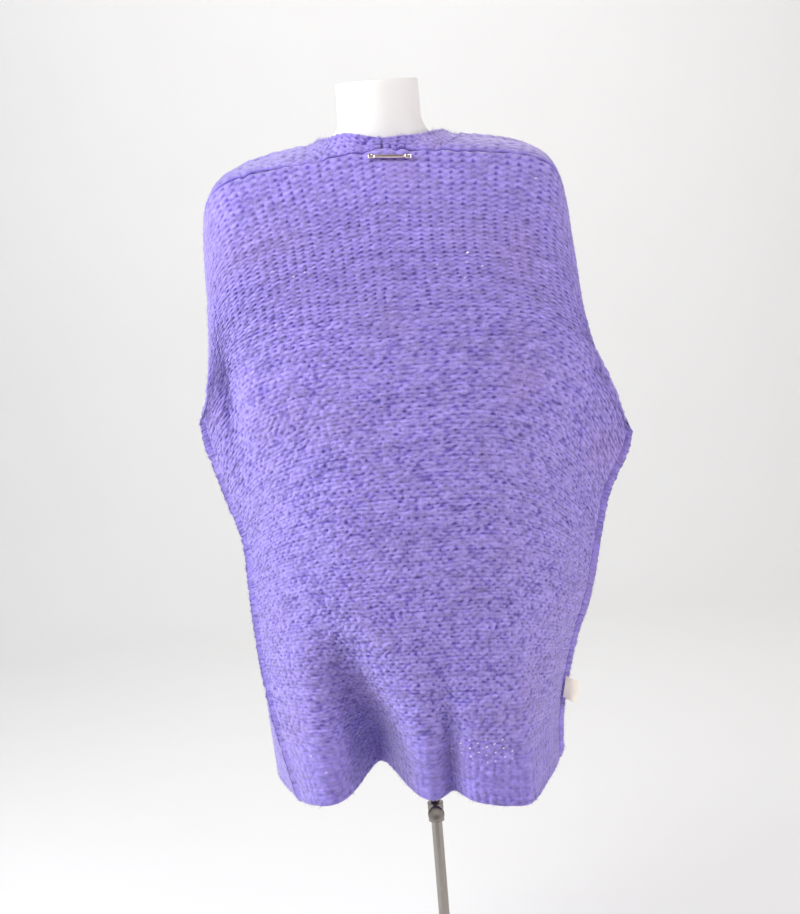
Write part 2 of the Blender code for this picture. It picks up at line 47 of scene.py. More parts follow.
# sizes that every piece of the garment shares, in metres
garment = {
    "core": 0.0034,        # solid part of the wall, under the stitches
    "stitch": 0.0028,      # how far a purl bump stands over the core
    "rough": 0.00016,      # unevenness of the outer points
    "slackFrom": 0.14,     # shares of the length between which the stretched stitches turn slack
    "slackTo": 0.38,
    "seamGap": 0.0003,
    "sideGap": 0.0006,
    "formGap": 0.0028,
    "seamStart": 0.0003,   # share of the length where the fronts and the bands begin
    "seamLean": 0.02,      # share of the length over which panels turn towards each other at a seam
    "furrow": 0.0022,      # half width of the furrow along a seam
    "ribTop": 0.90,        # share of the length where the ribbed hem begins
    "rib": 0.0008,
    "lip": 0.0055,         # side seam allowance, worn outside
    "lipFurrow": 0.0068,   # its furrow's distance from the side
    "curl": 0.0030,        # roll of the free edges
    "edgeRound": 0.0034,
    "corner": 0.26,        # share of the length at the bottom of the armhole
    "wales": 56,           # stitches from edge to edge of the back
    "length": 0.93,
    "neckPart": 5 / 28,    # share of half the back that the neck band covers
}

# courses of knitting counted from the shoulder seam, closer together at the top
courseTable = [
    (0.00, 0.0),
    (0.10, 14.5),
    (0.26, 38.5),
    (0.50, 77.5),
    (0.74, 117.0),
    (1.00, 159.0),
]
splitCourse = 80    # the back is two meshes that meet in the valley between two courses

formSections = [
    # height, half width, half depth, middle, roundness
    (0.740, 0.150, 0.098, -0.006, 2.3),
    (0.800, 0.165, 0.109, -0.008, 2.3),
    (0.860, 0.163, 0.107, -0.008, 2.3),
    (0.930, 0.138, 0.092, -0.002, 2.2),
    (1.000, 0.124, 0.084, 0.000, 2.2),
    (1.070, 0.134, 0.093, 0.002, 2.2),
    (1.140, 0.150, 0.111, 0.005, 2.2),
    (1.200, 0.162, 0.110, 0.003, 2.3),
    (1.260, 0.184, 0.103, -0.003, 2.4),
    (1.310, 0.208, 0.090, -0.006, 2.4),
    (1.345, 0.216, 0.078, -0.007, 2.3),
    (1.376, 0.213, 0.067, -0.007, 2.0),
    (1.390, 0.200, 0.063, -0.006, 1.7),
    (1.399, 0.178, 0.062, -0.006, 1.5),
    (1.407, 0.142, 0.062, -0.005, 1.4),
    (1.413, 0.106, 0.062, -0.003, 1.5),
    (1.421, 0.077, 0.060, -0.001, 1.8),
    (1.438, 0.061, 0.058, 0.000, 2.0),
    (1.465, 0.0575, 0.0565, 0.000, 2.0),
    (1.500, 0.0570, 0.0565, 0.000, 2.0),
]

backRows = [
    # share, middle height, middle y, bend, fullness, wrap
    (0.00, 1.405, -0.0790, 7.0, 0.95, 5.0),
    (0.05, 1.353, -0.1020, 5.6, 0.92, 3.6),
    (0.13, 1.282, -0.1110, 4.4, 0.85, 2.7),
    (0.26, 1.166, -0.1130, 3.6, 0.45, 2.4),
    (0.38, 1.058, -0.1160, 3.4, 0.25, 2.6),
    (0.50, 0.950, -0.1190, 3.2, 0.20, 2.6),
    (0.62, 0.842, -0.1210, 3.0, 0.20, 2.6),
    (0.74, 0.733, -0.1180, 2.8, 0.20, 3.0),
    (0.90, 0.584, -0.1060, 2.6, 0.22, 3.6),
    (1.00, 0.491, -0.1000, 2.4, 0.24, 4.0),
]

frontRows = [
    # share, middle height, middle y, bend, fullness left, fullness right, wrap
    (0.00, 1.405, -0.0790, 7.0, 0.95, 0.95, 5.0),
    (0.02, 1.424, -0.0480, 7.0, 0.95, 0.95, 5.0),
    (0.04, 1.428, -0.0050, 7.0, 0.95, 0.95, 5.0),
    (0.06, 1.420, 0.0350, 6.6, 0.95, 0.95, 5.0),
    (0.09, 1.388, 0.0740, 6.0, 0.93, 0.93, 4.2),
    (0.13, 1.340, 0.0980, 5.0, 0.88, 0.88, 3.6),
    (0.19, 1.262, 0.1130, 4.2, 0.70, 0.70, 3.0),
    (0.26, 1.178, 0.1210, 3.6, 0.45, 0.45, 2.8),
    (0.38, 1.063, 0.1250, 3.4, 0.40, 0.30, 2.6),
    (0.50, 0.953, 0.1250, 3.2, 0.60, 0.25, 2.6),
    (0.62, 0.845, 0.1250, 3.0, 0.85, 0.25, 2.6),
    (0.74, 0.735, 0.1270, 2.8, 1.20, 0.25, 3.0),
    (0.90, 0.590, 0.1300, 2.6, 1.85, 0.30, 3.4),
    (1.00, 0.500, 0.1320, 2.4, 2.35, 0.30, 3.6),
]

sideEdges = [
    # share, x y and height on the left, x y and height on the right, opening between the panels
    (0.00, -0.2550, 0.0050, 1.205, 0.2480, 0.0050, 1.180, 0.0000),
    (0.05, -0.2535, -0.0200, 1.180, 0.2530, -0.0200, 1.145, 0.0490),
    (0.13, -0.2575, -0.0300, 1.130, 0.2625, -0.0300, 1.088, 0.0650),
    (0.20, -0.2680, -0.0200, 1.085, 0.2860, -0.0200, 1.027, 0.0440),
    (0.26, -0.2790, 0.0000, 1.045, 0.3130, 0.0000, 0.985, 0.0000),
    (0.38, -0.2600, 0.0080, 0.955, 0.2765, 0.0100, 0.900, 0.0000),
    (0.50, -0.2360, 0.0100, 0.870, 0.2575, 0.0140, 0.825, 0.0000),
    (0.62, -0.2325, 0.0060, 0.790, 0.2415, 0.0160, 0.755, 0.0000),
    (0.74, -0.2280, -0.0020, 0.705, 0.2140, 0.0180, 0.680, 0.0000),
    (0.90, -0.2095, -0.0240, 0.582, 0.1900, 0.0230, 0.575, 0.0000),
    (1.00, -0.1900, -0.0380, 0.490, 0.1860, 0.0280, 0.502, 0.0000),
]

backFolds = [
    # x at the hem, x higher up, depth, width, lift, top of the fold
    (-0.074, -0.122, 0.1250, 0.043, 0.029, 0.85),
    (0.028, 0.026, 0.0300, 0.020, 0.008, 0.76),
    (0.178, 0.164, -0.0090, 0.013, 0.000, 0.90),
    (0.136, 0.126, -0.0140, 0.018, -0.004, 0.90),
    (-0.150, -0.150, -0.0120, 0.035, 0.006, 0.84),
    (0.115, 0.090, -0.0180, 0.045, -0.010, 0.86),
]
frontFolds = [
    # x at the hem, x higher up, depth, width, lift, top of the fold
    (-0.130, -0.120, -0.0360, 0.030, 0.008, 0.82),
    (-0.185, -0.190, 0.0100, 0.025, 0.000, 0.80),
    (0.105, 0.110, -0.0420, 0.032, 0.009, 0.84),
    (0.165, 0.175, 0.0100, 0.030, 0.000, 0.80),
]
elbowHollows = [
    # x, height, depth, width, tallness
    (-0.234, 1.075, 0.018, 0.020, 0.085),
    (0.262, 1.080, 0.008, 0.022, 0.080),
]

bandLine = [
    # share, x of the sewn edge, x of the free edge
    (0.00, 0.080, 0.079),
    (0.03, 0.104, 0.079),
    (0.06, 0.107, 0.077),
    (0.10, 0.088, 0.059),
    (0.16, 0.070, 0.039),
    (0.26, 0.058, 0.025),
    (0.50, 0.054, 0.020),
    (0.75, 0.054, 0.020),
    (1.00, 0.056, 0.022),
]


# a smooth curve through a table's rows: cubic pieces, level wherever the table turns back
def smoothTable(rows, at):
    rows = np.array(rows, float)
    knots, values = rows[:, 0], rows[:, 1:]
    at = np.clip(np.asarray(at, float), knots[0], knots[-1])
    steps = np.diff(knots)[:, None]
    slopes = np.diff(values, axis=0) / steps
    tangent = np.zeros_like(values)
    tangent[0], tangent[-1] = slopes[0], slopes[-1]
    tangent[1:-1] = (slopes[:-1] * steps[1:] + slopes[1:] * steps[:-1]) / (steps[:-1] + steps[1:])
    tangent[1:-1] = np.where(slopes[:-1] * slopes[1:] <= 0, 0, tangent[1:-1])
    i = np.clip(np.searchsorted(knots, at, side="right") - 1, 0, len(knots) - 2)
    h = (knots[i + 1] - knots[i])[..., None]
    t = (at - knots[i])[..., None] / h
    out = (2 * t**3 - 3 * t**2 + 1) * values[i] + (t**3 - 2 * t**2 + t) * h * tangent[i]
    out = out + (3 * t**2 - 2 * t**3) * values[i + 1] + (t**3 - t**2) * h * tangent[i + 1]
    return np.moveaxis(out, -1, 0)


# 0 to 1 with flat ends: 3t squared less 2t cubed
def ease(t):
    t = np.clip(t, 0, 1)
    return t * t * (3 - 2 * t)


# a bell curve: e to the power of less the square of the distance from its middle over its width
def bell(x, middle, wide):
    return np.exp(-(((x - middle) / wide) ** 2))


def unit(v):
    return v / (np.linalg.norm(v, axis=-1, keepdims=True) + 1e-12)


# distance to the dress form: the size of the rounded ellipse through the point, over its slope
def formDistance(p):
    def field(q):
        halfX, halfY, midY, power = smoothTable(formSections, q[..., 2])
        u = np.abs(q[..., 0]) / halfX
        w = np.abs(q[..., 1] - midY) / halfY
        return (u**power + w**power + 1e-12) ** (1 / power) - 1

    value = field(p)
    step = 0.0005
    slope = np.stack([(field(p + s) - field(p - s)) / (2 * step) for s in np.eye(3) * step], -1)
    size = np.linalg.norm(slope, axis=-1) + 1e-9
    return value / size, slope / size[..., None]


# points nearer to the form than the gap move straight out, in a few steps
def clearOfForm(p, gap):
    lowest, highest, farthest = 0.735, 1.47, 0.05
    for _ in range(4):
        away, out = formDistance(p)
        move = np.clip(gap - away, 0, farthest)
        move = np.where((p[..., 2] < lowest) | (p[..., 2] > highest), 0, move)
        p = p + out * move[..., None]
    return p


drape = {
    "foldEnd": 0.50,       # height where a fold is at its full depth
    "liftTop": 0.66,       # heights between which the hem is drawn up by a fold
    "liftEnd": 0.50,
    "ridge": 0.11,         # fall of the shoulders from the middle outwards
    "ridgeEnd": 0.30,      # shares of the length between which that is lost
    "ridgeStart": 0.05,
    "wobble": 0.0011,      # unevenness of the shoulder seam, and the size of its waves
    "wave": 0.009,
    "foldHold": 0.16,      # part of a row next to the side that folds leave alone
    "hollowHold": 0.22,
}


# folds: bell curves across, that grow towards the hem and lean from their upper to their lower x
def folds(table, x, z):
    push, lift = np.zeros_like(x), np.zeros_like(x)
    for hemX, highX, deep, wide, up, top in table:
        down = ease((top - z) / (top - drape["foldEnd"]))
        shape = bell(x, highX + (hemX - highX) * down, wide) * down**1.3
        push = push + deep * shape
        risen = ease((drape["liftTop"] - z) / (drape["liftTop"] - drape["liftEnd"]))
        lift = lift + up * shape * risen
    return push, lift


# a panel: each level row runs from its middle to the edge, x as a parabola of the share across,
# y and height as powers of it, then the folds and the hollows at the elbows push it in or out
def panel(midZ, midY, bend, fullness, wrap, inFront, across, share, foldTable, slope):
    *ends, opening = smoothTable(sideEdges, share)
    endX, endY, endZ = (np.where(across > 0, r, l) for l, r in zip(ends[:3], ends[3:]))
    endY = endY + inFront * (opening + garment["sideGap"])
    a = np.minimum(np.abs(across), 1)
    x = endX * a * (1 + fullness * (1 - a))
    y = midY + (endY - midY) * a**wrap
    ridge = drape["ridge"] + slope * ease(share / garment["seamLean"])
    ridge = ridge * ease((drape["ridgeEnd"] - share) / (drape["ridgeEnd"] - drape["ridgeStart"]))
    z = midZ - ridge * np.abs(x) * (1 - a**bend) - (midZ - endZ) * a**bend
    atSeam = 1 - ease(share / garment["seamLean"])
    z = z + drape["wobble"] * wander(21, x / drape["wave"], share * 0) * atSeam
    push, lift = folds(foldTable, x, z)
    hold = ease((1 - a) / drape["foldHold"])
    y, z = y + push * hold, z + lift * hold
    for hollowX, hollowZ, deep, wideX, wideZ in elbowHollows:
        near = bell(x, hollowX, wideX) * bell(z, hollowZ, wideZ)
        y = y + deep * near * (1 - 2 * inFront) * ease((1 - a) / drape["hollowHold"])
    return np.stack([x, y, z], -1)


def backSurface(across, share):
    across, share = np.broadcast_arrays(across, share)
    midZ, midY, bend, fullness, wrap = smoothTable(backRows, share)
    p = panel(midZ, midY, bend, fullness, wrap, 0, across, share, backFolds, 0.0)
    return clearOfForm(p, garment["formGap"])


def frontSurface(across, share):
    across, share = np.broadcast_arrays(across, share)
    midZ, midY, bend, fullLeft, fullRight, wrap = smoothTable(frontRows, share)
    fullness = np.where(across > 0, fullRight, fullLeft)
    p = panel(midZ, midY, bend, fullness, wrap, 1, across, share, frontFolds, 0.05)
    return clearOfForm(p, garment["formGap"])


# outward direction: the cross product of two short chords of the surface
def normalsOf(surface, across, share):
    def moved(aside, down):
        return surface(np.clip(across + aside, -1, 1), np.clip(share + down, 0, 1))

    along, down = moved(0.012, 0) - moved(-0.012, 0), moved(0, 0.008) - moved(0, -0.008)
    return unit(np.cross(along, down)) * (-1 if surface is backSurface else 1)


# place across the front where a row stands at x: the root of the row's parabola
def acrossAt(side, x, share):
    fullness = smoothTable(frontRows, share)[3 if side < 0 else 4]
    endX = np.abs(smoothTable(sideEdges, share)[0 if side < 0 else 3])
    part = np.clip(np.abs(x) / endX, 0, 1)
    root = np.sqrt(np.maximum((1 + fullness) ** 2 - 4 * fullness * part, 0))
    return side * ((1 + fullness) - root) / (2 * fullness)


# place across the front of the band's seam, or a little apart from it. Behind the neck it is moved
# so that the seam starts where the neck band ends
def sewnPlace(side, share, apart):
    x = smoothTable(bandLine, share)[0] + apart
    drift = garment["neckPart"] - abs(float(acrossAt(side, bandLine[0][1], 0.0)))
    return acrossAt(side, x, share) + side * drift * (1 - ease(share / 0.03))


# along the shoulder seam both panels lean the same way, half way between their own directions
def shoulderNormals(across):
    behind = normalsOf(backSurface, across, np.zeros_like(across))
    start = np.full_like(across, garment["seamStart"])
    return unit(behind + normalsOf(frontSurface, across, start))


def sideNormals(side, share):
    ends = np.full_like(share, side)
    return unit(normalsOf(backSurface, ends, share) + normalsOf(frontSurface, ends, share))


# outward directions of a panel, turned towards its neighbour's near the shoulder and side seams
def leanedNormals(surface, across, down, share, toSide):
    normal = normalsOf(surface, across, down)
    if share[0] < garment["seamLean"]:
        top = (1 - ease(down / garment["seamLean"]))[..., None]
        normal = unit(normal * (1 - top) + shoulderNormals(across[0])[None] * top)
    nearSeam = ease((down - garment["corner"] + 0.03) / 0.03) * ease((0.014 - toSide) / 0.012)
    for side in (-1, 1):
        w = (nearSeam * (across * side > 0))[..., None]
        normal = unit(normal * (1 - w) + sideNormals(side, share)[:, None] * w)
    return normal


# the share across at which a row has run a given part of its length, from the middle to the edge
def evenPlaces(surface, side, share, part):
    a = np.linspace(0, 1, 181)
    p = surface(side * a[None, :], share[:, None])
    run = np.cumsum(np.linalg.norm(np.diff(p, axis=1), axis=-1), axis=1)
    run = np.concatenate([np.zeros((len(share), 1)), run], 1)
    part = np.broadcast_to(part, (len(share), np.shape(part)[-1]))
    places = [np.interp(f, r / r[-1], a) for f, r in zip(part, run)]
    return side * np.array(places), run[:, -1], run / run[:, -1:], a


# smooth unevenness: random values on a grid of whole numbers, eased between them
def wander(seed, x, y):
    values = np.random.default_rng(seed).standard_normal((64, 64))
    i, j = np.floor(x).astype(int), np.floor(y).astype(int)
    s, t = ease(x - i), ease(y - j)
    low = values[i % 64, j % 64] * (1 - s) + values[(i + 1) % 64, j % 64] * s
    high = values[i % 64, (j + 1) % 64] * (1 - s) + values[(i + 1) % 64, (j + 1) % 64] * s
    return low * (1 - t) + high * t


# a purl stitch where the cloth is stretched over the shoulders, and where it is slack
purlLook = {
    "strayAside": (0.05, 0.11),
    "strayDown": (0.10, 0.20),
    "stagger": (0.0, 0.5),       # how far every other course is moved, in stitches
    "sag": (0.22, 0.16),
    "valley": (0.38, 0.24),      # depth between two courses, and of the pit where it passes a wale
    "pit": (0.48, 0.38),
    "pitPower": (6.0, 4.0),
    "lump": (0.08, 0.22),
}


# reverse stocking stitch: between two courses lies a shallow valley that sags between the wales,
# and where it passes a wale it drops into a small deep pit. The pits of neighbouring courses stand
# in columns where the cloth is stretched, and half a stitch apart where it is slack
def purlStitches(wale, course, slack, seed):
    now = {key: tight + (loose - tight) * slack for key, (tight, loose) in purlLook.items()}
    wale = wale + now["strayAside"] * wander(seed, wale / 1.7, course / 1.9)
    course = course + now["strayDown"] * wander(seed + 1, wale / 1.9, course / 2.3)
    low = np.zeros_like(wale)
    for near in (0, 1):
        row = np.floor(course) + near
        shift = now["stagger"] * (row % 2) + 0.05 * np.sin(row * 2.399)
        turn = np.cos(2 * math.pi * (wale - shift))
        away = course - row + now["sag"] * turn
        pit = ((1 + turn) / 2) ** now["pitPower"] * (1 + 0.5 * wander(seed + 2, wale, row))
        low = low + now["valley"] * bell(away, 0, 0.21) + now["pit"] * pit * bell(away, 0, 0.27)
    lumps = now["lump"] * wander(seed + 3, wale * 1.9, course * 1.3)
    return np.clip(1.0 - low + lumps, 0, 1.3)


# ribbed hem: narrow raised columns of slanting knit stitches, sunk between them
def ribStitches(wale, course, seed):
    beside = np.abs((wale + 0.06 * wander(seed + 4, wale, course / 3)) % 1 - 0.5) * 2
    column = ease(1.35 - 1.5 * beside)
    lean = (course * 0.75 + 0.6 * beside) % 1
    return column * (0.70 + 0.30 * np.sin(math.pi * lean))


def courseOf(share):
    return smoothTable(courseTable, share)[0]


# height of the outer points over the core, and how deep each lies between its neighbours, which
# sets the painted shade in the hollows and the painted highlight on the tops
def knitHeight(wale, share, seed):
    course = courseOf(share)
    slack = ease((share - garment["slackFrom"]) / (garment["slackTo"] - garment["slackFrom"]))
    purl = purlStitches(wale, course, slack, seed)
    raised = ribStitches(wale, course, seed)
    inRib = ease((share - garment["ribTop"] + 0.030) / 0.060)
    height = garment["stitch"] * purl * (1 - 0.50 * inRib) + inRib * garment["rib"] * raised
    light = purl * (1 - inRib) + inRib * (0.46 + 0.30 * purl + 0.14 * raised)
    return height, 1 - np.clip(light, 0, 1)


def attach(made):
    bpy.context.scene.collection.objects.link(made)
    return made


# puts points and faces of several sizes into a mesh, and turns it if its volume comes out negative
def putMesh(name, points, faceGroups, paint, values=None, wale=None):
    mesh = bpy.data.meshes.new(name)
    corner = [g[:, [0, i, i + 1]] for g in faceGroups for i in range(1, g.shape[1] - 1)]
    a = points[np.concatenate(corner)]
    if np.einsum("ij,ij->", a[:, 0], np.cross(a[:, 1], a[:, 2])) < 0:
        faceGroups = [g[:, ::-1] for g in faceGroups]
    sizes = np.concatenate([np.full(len(g), g.shape[1]) for g in faceGroups])
    corners = np.concatenate([g.ravel() for g in faceGroups])
    starts = np.concatenate([[0], np.cumsum(sizes)[:-1]])
    mesh.vertices.add(len(points))
    mesh.vertices.foreach_set("co", points.astype(np.float32).ravel())
    mesh.loops.add(len(corners))
    mesh.loops.foreach_set("vertex_index", corners.astype(np.int32))
    mesh.polygons.add(len(sizes))
    mesh.polygons.foreach_set("loop_start", starts.astype(np.int32))
    mesh.update(calc_edges=True)
    for key, data in (values or {}).items():
        layer = mesh.attributes.new(key, "FLOAT", "POINT")
        layer.data.foreach_set("value", data.astype(np.float32).ravel())
    if wale is not None:
        layer = mesh.uv_layers.new(name="yarn")
        layer.data.foreach_set("uv", wale[corners].astype(np.float32).ravel())
    mesh.shade_smooth()
    mesh.validate()
    mesh.materials.append(paint)
    return attach(bpy.data.objects.new(name, mesh))


def gridQuads(index):
    corners = [index[:-1, :-1], index[:-1, 1:], index[1:, 1:], index[1:, :-1]]
    return np.stack(corners, -1).reshape(-1, 4)


# a closed wall: a fine outer grid, an inner grid with one point to every three, and a rim between
def clothWall(name, inside, outside, deep, tone, thinGlow, wale, share, paint):
    skip = 3
    inner = inside[::skip, ::skip]
    rows, columns = outside.shape[:2]
    upper = np.arange(rows * columns).reshape(rows, columns)
    lower = np.arange(inner.shape[0] * inner.shape[1]).reshape(inner.shape[:2]) + rows * columns
    groups = [gridQuads(upper), gridQuads(lower)[:, ::-1]]
    for u, w, turn in ((upper[0], lower[0], -1), (upper[-1], lower[-1], 1),
                       (upper[:, 0], lower[:, 0], 1), (upper[:, -1], lower[:, -1], -1)):
        start = np.arange(0, len(u) - 1, skip)
        outerPart = np.stack([u[start + i] for i in range(skip + 1)], -1)
        innerPart = np.stack([w[1:], w[:-1]], -1)
        groups.append(np.concatenate([outerPart, innerPart], -1)[:, ::turn])
    points = np.concatenate([outside.reshape(-1, 3), inner.reshape(-1, 3)])
    within = np.ones(inner[..., 0].size)
    # deep: painted shade in the hollows and painted highlight on the tops; the inner side gets a
    # middling painted shade
    values = {
        "deep": np.concatenate([deep.ravel(), 0.45 * within]),
        "tone": np.concatenate([tone.ravel(), 0 * within]),
        "thinGlow": np.concatenate([thinGlow.ravel(), 0 * within]),
    }
    uv = np.stack([wale, courseOf(share)], -1)
    uv = np.concatenate([uv.reshape(-1, 2), uv[::skip, ::skip].reshape(-1, 2)])
    made = putMesh(name, points, groups, paint, values, uv)
    made.data.set_sharp_from_angle(angle=math.radians(75))
    return made


# gives a node's inputs their values, and links those that are sockets
def setInputs(tree, node, **inputs):
    for key, value in inputs.items():
        numbered = key[0] == "n" and key[1:].isdigit()
        socket = node.inputs[int(key[1:]) if numbered else key.replace("_", " ")]
        if isinstance(value, bpy.types.NodeSocket):
            tree.links.new(value, socket)
        else:
            socket.default_value = value
    return node


# adds a node with its settings, values and links
def addNode(tree, kind, settings=None, **inputs):
    node = tree.nodes.new("ShaderNode" + kind)
    for key, value in (settings or {}).items():
        setattr(node, key, value)
    return setInputs(tree, node, **inputs)


# sRGB hex to linear: the standard curve, each channel by itself
def linear(hexColour):
    parts = [int(hexColour[i:i + 2], 16) / 255 for i in (0, 2, 4)]
    curve = [c / 12.92 if c <= 0.04045 else ((c + 0.055) / 1.055) ** 2.4 for c in parts]
    return (*curve, 1.0)


# a new material, with its shader and the place on the piece that its patterns are drawn by
def newMaterial(name):
    made = bpy.data.materials.new(name)
    made.use_nodes = True
    tree = made.node_tree
    place = addNode(tree, "TexCoord").outputs["Object"]
    return made, tree, tree.nodes["Principled BSDF"], place


knitLook = {
    "bump": "B0A0EE",       # lit tops of the loops
    "body": "8674D3",
    "grooveShade": "5A4CA8",     # painted shade between the courses
    "pink": "A48CCB",       # patches where the fibre has dulled
    "fibre": 1.4,           # mm, clumps of brushed fibre
    "hair": 0.7,            # mm, single fibres, drawn thicker than they are so that they show
}


# brushed wool-mix yarn, hand-knit gauge: matt, woolly, a pale bloom of loose fibre over the colour
def knitMaterial(name, seed):
    made, tree, shader, place = newMaterial(name)
    place = addNode(tree, "Mapping", Vector=place, Location=(seed, seed * 0.7, 0)).outputs[0]
    deep, tone, thinGlow = (
        addNode(tree, "Attribute", {"attribute_name": key}).outputs["Fac"]
        for key in ("deep", "tone", "thinGlow")
    )
    clump = addNode(tree, "TexNoise", Vector=place, Scale=1000 / knitLook["fibre"] / 3,
                    Detail=3.0, Roughness=0.6).outputs["Fac"]
    hair = addNode(tree, "TexNoise", Vector=place, Scale=1000 / knitLook["hair"] / 3,
                   Detail=2.0, Distortion=1.2).outputs["Fac"]
    patch = addNode(tree, "TexNoise", Vector=place, Scale=9.0, Detail=2.0).outputs["Fac"]
    # from the painted shade in the grooves to the painted highlight on the tops, with dull patches
    # over both
    top = addNode(tree, "MapRange", Value=deep, n1=-0.05, n2=0.42, n3=0.95, n4=0.0)
    grooveShade = addNode(tree, "MapRange", {"interpolation_type": "SMOOTHSTEP"}, Value=deep,
                     n1=0.25, n2=0.95, n3=0.0, n4=1.0)
    dull = addNode(tree, "MapRange", Value=patch, n1=0.52, n2=0.72, n3=0.0, n4=0.35)
    base = linear(knitLook["body"])
    for part, colour in ((top, "bump"), (grooveShade, "grooveShade"), (dull, "pink")):
        base = addNode(tree, "Mix", {"data_type": "RGBA"}, n0=part.outputs[0], n6=base,
                       n7=linear(knitLook[colour])).outputs[2]
    # one cell of the pattern for every loop of yarn: a bump, and painted shade towards the loop's
    # edges
    yarn = addNode(tree, "UVMap", {"uv_map": "yarn"}).outputs[0]
    yarn = addNode(tree, "Mapping", Vector=yarn, Scale=(1.25, 0.85, 1)).outputs[0]
    loop = addNode(tree, "TexVoronoi", {"voronoi_dimensions": "2D"}, Vector=yarn, Scale=1.0,
                   Randomness=0.85).outputs["Distance"]
    # painted shade between the loops, over the random tone of the fibre clumps and the stitches
    shade = addNode(tree, "Math", {"operation": "ADD"}, n0=clump, n1=tone).outputs[0]
    shade = addNode(tree, "Math", {"operation": "MULTIPLY_ADD"}, n0=loop, n1=-0.36,
                    n2=shade).outputs[0]
    shade = addNode(tree, "MapRange", Value=shade, n1=0.05, n2=0.75, n3=0.74, n4=1.28).outputs[0]
    base = addNode(tree, "VectorMath", {"operation": "SCALE"}, n0=base, Scale=shade).outputs[0]
    # painted backlight: slack stitches painted white and glowing, where light from behind shows
    # through
    thinGlow = addNode(tree, "MapRange", Value=thinGlow, n1=0.08, n2=0.70, n3=0.0, n4=0.9).outputs[0]
    base = addNode(tree, "Mix", {"data_type": "RGBA"}, n0=thinGlow, n6=base,
                   n7=linear("FFFFFF")).outputs[2]
    glow = addNode(tree, "Math", {"operation": "MULTIPLY"}, n0=thinGlow, n1=0.40).outputs[0]
    rough = addNode(tree, "Bump", {"invert": True}, Strength=0.8, Distance=0.0026,
                    Height=loop).outputs[0]
    rough = addNode(tree, "Bump", Strength=0.7, Distance=0.0016, Height=clump,
                    Normal=rough).outputs[0]
    rough = addNode(tree, "Bump", Strength=0.45, Distance=0.0007, Height=hair,
                    Normal=rough).outputs[0]
    setInputs(tree, shader, Base_Color=base, Normal=rough, Roughness=0.80, Specular_IOR_Level=0.25,
              Sheen_Weight=1.0, Sheen_Roughness=0.48, Sheen_Tint=linear("E2DCFF"),
              Emission_Color=linear("FFFFFF"), Emission_Strength=glow)
    return made


knit = knitMaterial("brushed wool-mix knit", 0.0)
bandKnit = knitMaterial("brushed wool-mix knit, bands", 3.1)
print("tables, stitches and yarn ready")

# points across and down each panel
backCut = {"columns": 282, "rows": 306}
frontCut = {"columns": 99, "rows": 528}

# slack stitches on the back with a painted white glow of light from behind, at the shoulder blades
# and in
# the hem: x, height, how white
thinGlowPlaces = [
    (-0.160, 1.258, 0.40), (-0.132, 1.248, 0.65), (-0.118, 1.254, 0.50), (-0.104, 1.259, 0.35),
    (-0.105, 1.241, 0.30), (0.060, 1.249, 0.50), (0.069, 1.238, 0.30), (0.102, 1.262, 1.00),
    (0.100, 1.249, 0.50), (0.095, 1.229, 0.55), (0.122, 1.243, 0.60), (0.090, 1.208, 0.30),
    (0.202, 1.352, 0.50), (-0.170, 0.572, 0.70), (-0.150, 0.548, 0.50), (-0.104, 0.583, 0.80),
    (-0.098, 0.589, 0.50), (-0.088, 0.583, 0.60), (-0.066, 0.583, 0.50), (0.020, 0.582, 0.60),
    (0.030, 0.566, 0.60), (0.042, 0.578, 0.80), (0.042, 0.563, 0.60), (0.054, 0.583, 0.60),
    (0.054, 0.572, 0.90), (0.054, 0.560, 0.70), (0.055, 0.549, 0.50), (0.066, 0.580, 0.60),
    (0.066, 0.566, 0.70), (0.077, 0.585, 0.60), (0.077, 0.574, 0.90), (0.077, 0.562, 0.60),
    (0.078, 0.551, 0.60), (0.089, 0.577, 0.90), (0.089, 0.565, 0.60), (0.089, 0.553, 0.50),
    (0.100, 0.583, 0.70), (0.100, 0.571, 0.80), (0.101, 0.558, 0.60), (0.112, 0.564, 0.70),
    (0.112, 0.553, 0.50), (0.022, 0.553, 0.40),
]


allShares = np.linspace(0, 1, 2001)
splitShare = float(np.interp(splitCourse, courseOf(allShares), allShares))


# shares of the length at which the courses come at even steps
def sharesBetween(low, high, count):
    course = np.linspace(float(courseOf(low)), float(courseOf(high)), count + 1)
    return np.interp(course, courseOf(allShares), allShares)


# a seam's furrow holds painted shade, a broken line: a bell across it, uneven along it, lost in the
# yarn behind the neck
def seamStrength(along):
    pastNeck = ease((np.abs(along + 3.5) - 4) / 5)
    return np.clip(0.30 + 0.50 * pastNeck + 0.30 * wander(12, along * 1.5, along * 0), 0, 1)


def seamShade(away, along):
    return seamStrength(along) * bell(away, 0, 0.0020)


# free edges are rounded: a quarter circle over the edge's radius, on top of what stays flat
def roundedEdge(free):
    t = 1 - np.clip(free / garment["edgeRound"], 0, 1)
    return 0.45 + 0.55 * np.sqrt(1 - t**2)


